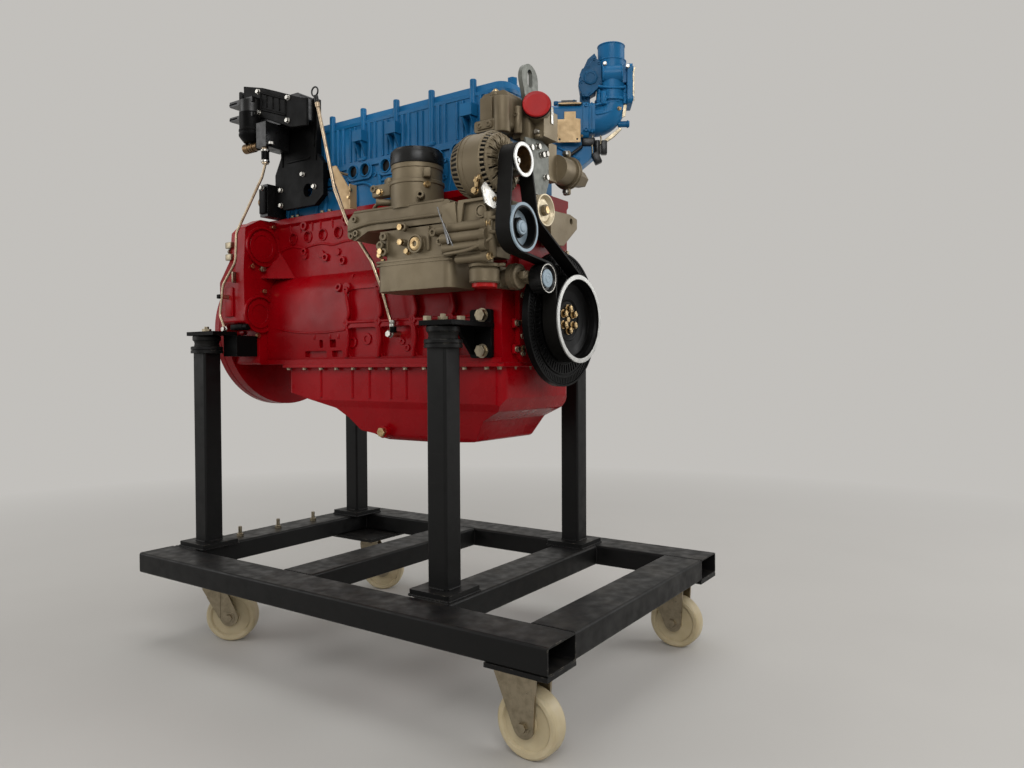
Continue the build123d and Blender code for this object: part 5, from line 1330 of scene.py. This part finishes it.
@dataclass(frozen=True)
class IntakeTrim:
    """Ribs, screws, connectors and clips of the intake elbow and the throttle, in the intake's own turned frame."""

    turn: float = 31.5
    middle: tuple[float, float] = (440, 326)

    def set_in(self, shape: Shape) -> Shape:
        """Turn a shape from the intake's own frame into the engine's.

        Args:
            shape: the shape.

        Returns:
            The same shape, turned.
        """
        place = Matrix.Translation((*self.middle, 0)) @ Matrix.Rotation(math.radians(self.turn), 4, "Z")
        bmesh.ops.transform(shape.mesh, matrix=place, verts=shape.mesh.verts)
        return shape

    def castings(self) -> None:
        """Blue ribs, rings, bosses and lips."""
        cast = Shape()
        cast.turned(facing(UP, (0, 0, 1782)), ((34, 4), (40.6, 4), (41.6, 3), (41.6, 0.6), (40, 0), (38, -4)),
                    48)
        cast.turned(facing(UP, (0, 0, 1735)), ((43, 0), (45.4, 1), (45.4, 4), (40.4, 6.4), (39.8, 6.4)), 48)
        cast.turned(facing(UP, (0, 0, 1624)), ((44, -9), (49, -9), (50, -8), (50, -1), (49, 0), (44, 1)), 48)
        for angle in (35, 145, 215, 325):
            turn = math.radians(angle)
            x, y = 46 * math.cos(turn), 46 * math.sin(turn)
            cast.rod((x, y, 1606), UP, 7.6, 30, soft=1.5)
            cast.rod((x, y, 1636), UP, 6.5, 24, 5, soft=1)
        for x, spread in ((-27, 56), (28, 62)):
            arc = [math.radians(180 + spread * step / 3) for step in range(-3, 4)]
            cast.wire([(x, -26 + 26.6 * math.cos(a), 1694 + 26.6 * math.sin(a)) for a in arc], 2.6)
        cast.wire([(-40, -37, 1656), (-20, -44, 1650), (10, -44, 1648), (38, -36, 1652)], 4)
        cast.rod((-25, -42, 1600), UP, 9, 38, soft=2)
        cast.block((52, 0, 1663.5), (18, 70, 92), 4)
        for z in (1620, 1707):
            for y in (-33, 33):
                cast.rod((58, y, z), FRONT, 7, 5)
        cast.wire([(-48, -44.5, 1572), (-30, -44.6, 1572), (0, -41, 1582)], 3)
        cast.wire([(-50, -40, 1600), (-20, -43, 1606), (20, -40, 1612)], 3.4)
        cast.block((-60.5, 0, 1562), (6, 92, 90), 2)
        cast.rims(facing(NEAR, (-78, -49, 1598), (-78, -49, 1526)), 6, 2.6, 3)
        cast.wire([(-68, -47, 1600), (-68, -48, 1560), (-68, -47, 1520)], 2.4)
        for x in (-240, -210, -180):
            cast.wire([(x, -45, 1516), (x, -46, 1550), (x, -45, 1592)], 3.4)
        for x in (-200, -128, -100):
            cast.wire([(x, -36, 1602.5), (x, 0, 1603.5), (x, 36, 1602.5)], 3)
        cast.wire([(-258, -31, 1490), (-228, -32, 1440), (-190, -32, 1412)], 4)
        cast.wire([(-180, -31, 1490), (-140, -32, 1470), (-96, -32, 1440)], 4)
        self.set_in(cast).piece("intake_ribs", Finish.BLUE)

    def motor(self) -> None:
        """Ribs, screws and plug of the throttle's motor cover."""
        cover = Shape()
        outline = [(-74, 1715.7), (-53.3, 1741.7), (-32.7, 1729.5), (-28.4, 1661.8), (-65.4, 1627.3),
                   (-86.1, 1624.4), (-97.8, 1651.6), (-99.3, 1672.2)]
        place = upright((0, -32, 0))
        cover.plate(outline, 6, place, 1.6)
        cover.turned(facing(NEAR, (-64, -38, 1682)),
                     ((0, 0), (22, 0), (22, 3), (20, 4.2), (14, 4.2), (13, 3), (0, 3)), 8)
        cover.rims([((x, -37.4, z), NEAR) for x, z in ((-93, 1668), (-71, 1712), (-53, 1735), (-38, 1724),
                                                       (-34, 1666), (-66, 1634), (-85, 1631))], 4.6, 2.2, 2.6)
        for x in (-90, -80, -70):
            cover.block((x, -21, 1627), (3, 4, 26), 1)
        cover.block((-79, -2, 1606), (24, 30, 14), 3)
        cover.rod((-76, -4, 1622), (-0.8, 0, -0.6), 10, 26)
        self.set_in(cover).piece("motor_cover_ribs", Finish.NAVY)

    def fixings(self) -> None:
        """Screws, clips and the bright brackets."""
        heads = Shape()
        heads.bolts(facing(NEAR, (-22, -47, 1718), (45.2, -44, 1709.8)), 9)
        self.set_in(heads).piece("throttle_screws", Finish.STEEL)
        brass = Shape()
        brass.bolts([((20.2, -36.3, 1589.6), (0.55, -0.81, -0.2))], 9)
        brass.bolts([((-90, -40.4, 1509.9), (0, -0.73, -0.68))], 6)
        self.set_in(brass).piece("intake_screws", Finish.BRASS)
        bright = Shape()
        bright.plate(((0, 0), (5, 0), (5, 86), (9, 100), (0, 100)), 3, upright((61, -30, 1612)), 0.6)
        bright.plate(((0, 0), (10, 4), (16, 46), (6, 50)), 3, upright((30, -22, 1566)), 0.6)
        bright.wire([(-34, -30, 1512), (-30, -36, 1490), (-44, -36, 1476), (-36, -36, 1462)], 2.6)
        bright.wire([(-58, -30, 1512), (-60, -36, 1484), (-58, -34, 1458)], 2.2)
        bright.plate(((0, 0), (30, 20), (52, 42), (46, 47), (22, 28), (-4, 8)), 12, upright((-22, -10, 1492)),
                     0.8)
        bright.plate(((0, 0), (14, 4), (20, 30), (10, 44), (8, 76), (0, 76)), 3, upright((-196, -44.8, 1532)),
                     0.6)
        self.set_in(bright).piece("intake_clips", Finish.ZINC)
        plugs = Shape()
        plugs.block((-46, -34, 1444), (22, 22, 34), 3, (0, -24, 0))
        plugs.block((-24, -30, 1476), (18, 24, 40), 3)
        plugs.rod((-44, -34, 1496), DOWN, 10, 40)
        plugs.block((-70, -20, 1494), (40, 34, 24), 4)
        plugs.wire([(-90, -34, 1480), (-110, -40, 1462), (-140, -40, 1446), (-170, -38, 1426)], 5)
        self.set_in(plugs).piece("intake_connectors", Finish.PLASTIC)
        sensor = Shape()
        sensor.turned(facing(UP, (-127, 0, 1623)), ((0, 0), (9, 0), (8, 4), (0, 5)), 20)
        sensor.block((-150, 0, 1616), (26, 18, 16), 3)
        sensor.block((-166, 0, 1620), (14, 14, 12), 3)
        sensor.rims(facing(UP, (-112, 12, 1622), (-112, -12, 1622)), 5, 2, 3)
        self.set_in(sensor).piece("duct_sensor_plug", Finish.NAVY)

    def build(self) -> None:
        """Build all of it."""
        self.castings()
        self.motor()
        self.fixings()


class RearModule:
    """Bowl, ribs, connectors and screws of the black gas module, and the pipes' fittings."""

    def bodies(self) -> None:
        """Black forms: ribbed bowl, wing lugs, plates and connectors."""
        black = Shape()
        black.turned(facing(UP, (-515, -236, 1521)),
                     ((0, 0), (26, 3), (37, 17), (40.2, 22), (40.2, 27), (38.6, 28.6), (38.6, 34), (40.2, 36),
                      (40.2, 40), (38.4, 42), (38.4, 92)), 44)
        for z in (1602, 1648):
            black.plate(((0, 0), (42, 0), (46, 14), (16, 50), (0, 58)), 9,
                        Matrix.Translation((-594, -262, z - 5)), 2)
        black.plate(((0, 0), (20, 0), (20, 30), (10, 42), (0, 42)), 30, upright((-588, -200, 1656)), 2)
        black.plate(((-552, 1706), (-461, 1683), (-391, 1658), (-289, 1620), (-260, 1614), (-260, 1533),
                     (-334, 1540), (-462, 1592), (-549, 1607)), 8, upright((0, -231.5, 0)), 2)
        window = ((-468, 1670), (-354, 1628), (-354, 1580), (-468, 1619))
        for low, high in zip(window, window[1:] + window[:1]):
            black.wire([(low[0], -239, low[1]), ((low[0] + high[0]) / 2, -239, (low[1] + high[1]) / 2),
                        (high[0], -239, high[1])], 4.2)
        for x in (-440, -411, -382):
            black.block((x, -240, 1626 - (x + 411) * 0.36), (4, 4, 36), 1.2)
        for x, z in ((-446, 1520), (-444, 1480), (-300, 1520), (-292, 1480)):
            black.block((x, -179, z), (6, 4, 60), 1.5)
        black.block((-370, -180, 1462), (100, 4, 8), 1.5)
        black.block((-502, -209, 1350), (30, 8, 84), 3)
        black.turned(facing(UP, (-421, -262, 1450)), ((0, 0), (11.6, 0), (11.6, 27), (0, 27)), 28)
        black.wire([(-421, -262, 1488), (-421, -258, 1500), (-424, -248, 1514)], 8)
        black.block((-557, -262, 953), (58, 24, 18), 4)
        black.rod((-534, -262, 953), FRONT, 10, 24)
        black.rod((38.5, -202, 938), (-0.1, 0.1, -1), 9.4, 16)
        black.block((-595, -302, 1048), (16, 14, 13), 2)
        black.piece("module_plastics", Finish.BLACK_CAST)

    def fixings(self) -> None:
        """Bright screws, clamps and pipe nuts."""
        heads = Shape()
        heads.bolts(facing(NEAR, (-478, -239.4, 1674), (-476, -239.4, 1610), (-342, -239.4, 1629),
                           (-344, -239.4, 1562), (-351, -178, 1416.2), (-300, -178, 1372), (-452, -178, 1380),
                           (-452, -178, 1333.2), (-500, -213, 1388)), 12)
        heads.turned([((-421, -262, z), UP) for z in (1444, 1476)],
                     ((9, 0), (12.2, 0), (13, 1), (13, 6), (12.2, 7), (9, 7)), 28, True)
        heads.turned(facing(UP, (-394, -262, 1494)), ((0, 0), (10, 0), (10, 7), (7, 9), (0, 9)), 6)
        heads.turned([((38, -203, 956), (-0.15, 0.1, -1))],
                     ((0, 0), (8.4, 0), (9.6, 2), (9.6, 8), (8.4, 10), (9.6, 12), (9.6, 18), (0, 20)), 20)
        heads.bolts(facing(NEAR, (30, -204, 918)), 17)
        heads.bolts(facing(NEAR, (-574, -300, 946)), 15)
        heads.piece("module_screws", Finish.STEEL)
        brown = Shape()
        brown.turned(facing(REAR, (-485, -236, 1510)),
                     ((0, 0), (13, 0), (13, 18), (15.2, 19), (15.2, 23), (13.4, 24), (13.4, 28), (15.2, 29),
                      (15.2, 33), (13.4, 34), (13.4, 40), (15.2, 41), (15.2, 62), (12, 64), (11, 60), (0, 60)),
                     32)
        brown.turned(facing(REAR, (-519, -176, 1352)),
                     ((0, 0), (16.4, 0), (16.4, 6), (14, 8), (14, 14), (17.2, 16), (17.2, 27), (14, 30),
                      (12, 27), (0, 27)), 28)
        brown.piece("brown_connectors", Finish.BRONZE)
        clip = Shape()
        clip.block((-640, -222, 1219), (30, 34, 20), 2.5)
        clip.block((-640, -222, 1181), (30, 34, 20), 2.5)
        clip.block((-560, -276, 1108), (6, 14, 34), 1.5)
        clip.piece("pipe_clips", Finish.ZINC)

    def build(self) -> None:
        """Build all of it."""
        self.bodies()
        self.fixings()


@dataclass(frozen=True)
class Studio:
    """Camera at the photograph's angle, pale floor and soft lamps."""

    eye: Point = (1.5147, -1.7586, 0.8232)
    yaw: float = 34.30
    pitch: float = 1.21
    roll: float = 0.25
    lens: float = 27.246
    floor_colour: Colour = (0.54, 0.525, 0.50)
    floor_size: float = 30.0
    sky_colour: Colour = (0.54, 0.525, 0.50)
    fill_colour: Colour = (1.0, 0.975, 0.93)
    fill_strength: float = 0.32
    fade_from: float = 1.3
    fade_to: float = 4.2
    lamps: tuple[tuple[str, Point, Point, float, float], ...] = (
        ("key", (3.0, -3.4, 3.4), (0.0, 0.0, 0.9), 2.6, 105.0),
        ("window", (3.6, 2.8, 2.4), (0.2, 0.0, 1.0), 2.4, 70.0),
        ("side", (-3.6, -3.0, 2.2), (0.0, 0.0, 1.0), 2.4, 42.0),
        ("top", (0.0, 0.3, 4.4), (0.0, 0.0, 0.9), 3.4, 60.0))

    def camera(self) -> None:
        """Create the camera."""
        data = bpy.data.cameras.new("camera")
        data.lens = self.lens
        data.sensor_width = 36.0
        data.clip_start = 0.05
        data.clip_end = 100.0
        camera = bpy.data.objects.new("camera", data)
        yaw, pitch, roll = (math.radians(a) for a in (self.yaw, self.pitch, self.roll))
        ahead = Vector((-math.sin(yaw) * math.cos(pitch), math.cos(yaw) * math.cos(pitch), -math.sin(pitch)))
        right = Vector((math.cos(yaw), math.sin(yaw), 0.0))
        down = ahead.cross(right)
        level_right = math.cos(roll) * right + math.sin(roll) * down
        level_down = -math.sin(roll) * right + math.cos(roll) * down
        turn = Matrix((level_right, -level_down, -ahead)).transposed()
        camera.matrix_world = Matrix.Translation(Vector(self.eye)) @ turn.to_4x4()
        bpy.context.scene.collection.objects.link(camera)
        bpy.context.scene.camera = camera

    def lamp(self, name: str, place: Point, aim: Point, size: float, power: float) -> None:
        """Add one soft lamp.

        Args:
            name: the lamp's name.
            place: where it stands.
            aim: the point that it faces.
            size: its side in metres.
            power: watts.
        """
        data = bpy.data.lights.new(name, "AREA")
        data.shape = "SQUARE"
        data.size = size
        data.energy = power
        lamp = bpy.data.objects.new(name, data)
        lamp.location = place
        lamp.rotation_euler = (Vector(aim) - Vector(place)).to_track_quat("-Z", "Y").to_euler()
        bpy.context.scene.collection.objects.link(lamp)

    def world(self) -> None:
        """Pale background and an even fill."""
        world = bpy.data.worlds.new("studio")
        world.use_nodes = True
        tree = world.node_tree
        tree.nodes.clear()
        path = tree.nodes.new("ShaderNodeLightPath")
        seen = path.outputs["Is Camera Ray"]
        for name in ("Is Glossy Ray", "Is Transmission Ray"):
            wider = tree.nodes.new("ShaderNodeMath")
            wider.operation = "MAXIMUM"
            tree.links.new(seen, wider.inputs[0])
            tree.links.new(path.outputs[name], wider.inputs[1])
            seen = wider.outputs[0]
        fill = tree.nodes.new("ShaderNodeBackground")
        fill.inputs["Color"].default_value = (*self.fill_colour, 1.0)
        fill.inputs["Strength"].default_value = self.fill_strength
        sky = tree.nodes.new("ShaderNodeBackground")
        sky.inputs["Color"].default_value = (*self.sky_colour, 1.0)
        sky.inputs["Strength"].default_value = 1.0
        mix = tree.nodes.new("ShaderNodeMixShader")
        out = tree.nodes.new("ShaderNodeOutputWorld")
        tree.links.new(seen, mix.inputs[0])
        tree.links.new(fill.outputs[0], mix.inputs[1])
        tree.links.new(sky.outputs[0], mix.inputs[2])
        tree.links.new(mix.outputs[0], out.inputs[0])
        bpy.context.scene.world = world

    def fade(self, sheet: Sheet) -> None:
        """Let the far floor pass into the background, so that no horizon line shows.

        Args:
            sheet: the floor's node tree.
        """
        reach = sheet.add("ShaderNodeVectorMath", operation="LENGTH")
        sheet.wire(sheet.place, reach.inputs[0])
        far = sheet.ramp(reach.outputs["Value"], self.fade_from, self.fade_to)
        path = sheet.add("ShaderNodeLightPath")
        seen = sheet.maths("MAXIMUM", path.outputs["Is Camera Ray"], path.outputs["Is Glossy Ray"])
        glow = sheet.add("ShaderNodeEmission")
        glow.inputs["Color"].default_value = (*self.sky_colour, 1.0)
        mix = sheet.add("ShaderNodeMixShader")
        sheet.wire(sheet.maths("MULTIPLY", far, seen), mix.inputs[0])
        sheet.wire(sheet.shader.outputs[0], mix.inputs[1])
        sheet.wire(glow.outputs[0], mix.inputs[2])
        output = next(node for node in sheet.tree.nodes if node.type == "OUTPUT_MATERIAL")
        sheet.wire(mix.outputs[0], output.inputs["Surface"])

    def floor(self) -> None:
        """Lay the pale floor."""
        mesh = bpy.data.meshes.new("floor")
        grid = bmesh.new()
        bmesh.ops.create_grid(grid, x_segments=2, y_segments=2, size=self.floor_size)
        grid.to_mesh(mesh)
        grid.free()
        floor = bpy.data.objects.new("floor", mesh)
        bpy.context.scene.collection.objects.link(floor)
        sheet = Sheet("studio_floor")
        tone = sheet.blend(sheet.ramp(sheet.noise(1.6, 3.0), 0.3, 0.7), self.floor_colour,
                           tuple(c * 0.96 for c in self.floor_colour))
        sheet.wire(tone, sheet.shader.inputs["Base Color"])
        sheet.level(rough=0.60, specular=0.2)
        self.fade(sheet)
        mesh.materials.append(sheet.material)

    def set_up(self) -> None:
        """Build the whole studio."""
        self.camera()
        self.world()
        self.floor()
        for lamp in self.lamps:
            self.lamp(*lamp)
        bpy.context.scene.view_settings.view_transform = "Standard"


def dress_nodes(nodes: dict[str, bpy.types.Object]) -> None:
    """Give every carried-over node its finish.

    Args:
        nodes: the frame's nodes by name.
    """
    for finish, names in NODE_FINISHES.items():
        for name in names:
            mesh = nodes[name].data
            mesh.materials.clear()
            mesh.materials.append(finish.material())
            for face in mesh.polygons:
                face.material_index = 0


def main() -> None:
    """Load the frame, dress it and light it."""
    logging.basicConfig(level=logging.INFO, format="%(name)s: %(message)s")
    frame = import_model()
    Studio().set_up()
    dress_nodes(frame["nodes"])
    log.info("dressed %d nodes", len(frame["nodes"]))
    for trim in (StandTrim(), BlockTrim(), HeadTrim(), ModuleTrim(), FrontDrive(), IntakeTrim(), RearModule()):
        trim.build()


if __name__ == "__main__":
    main()
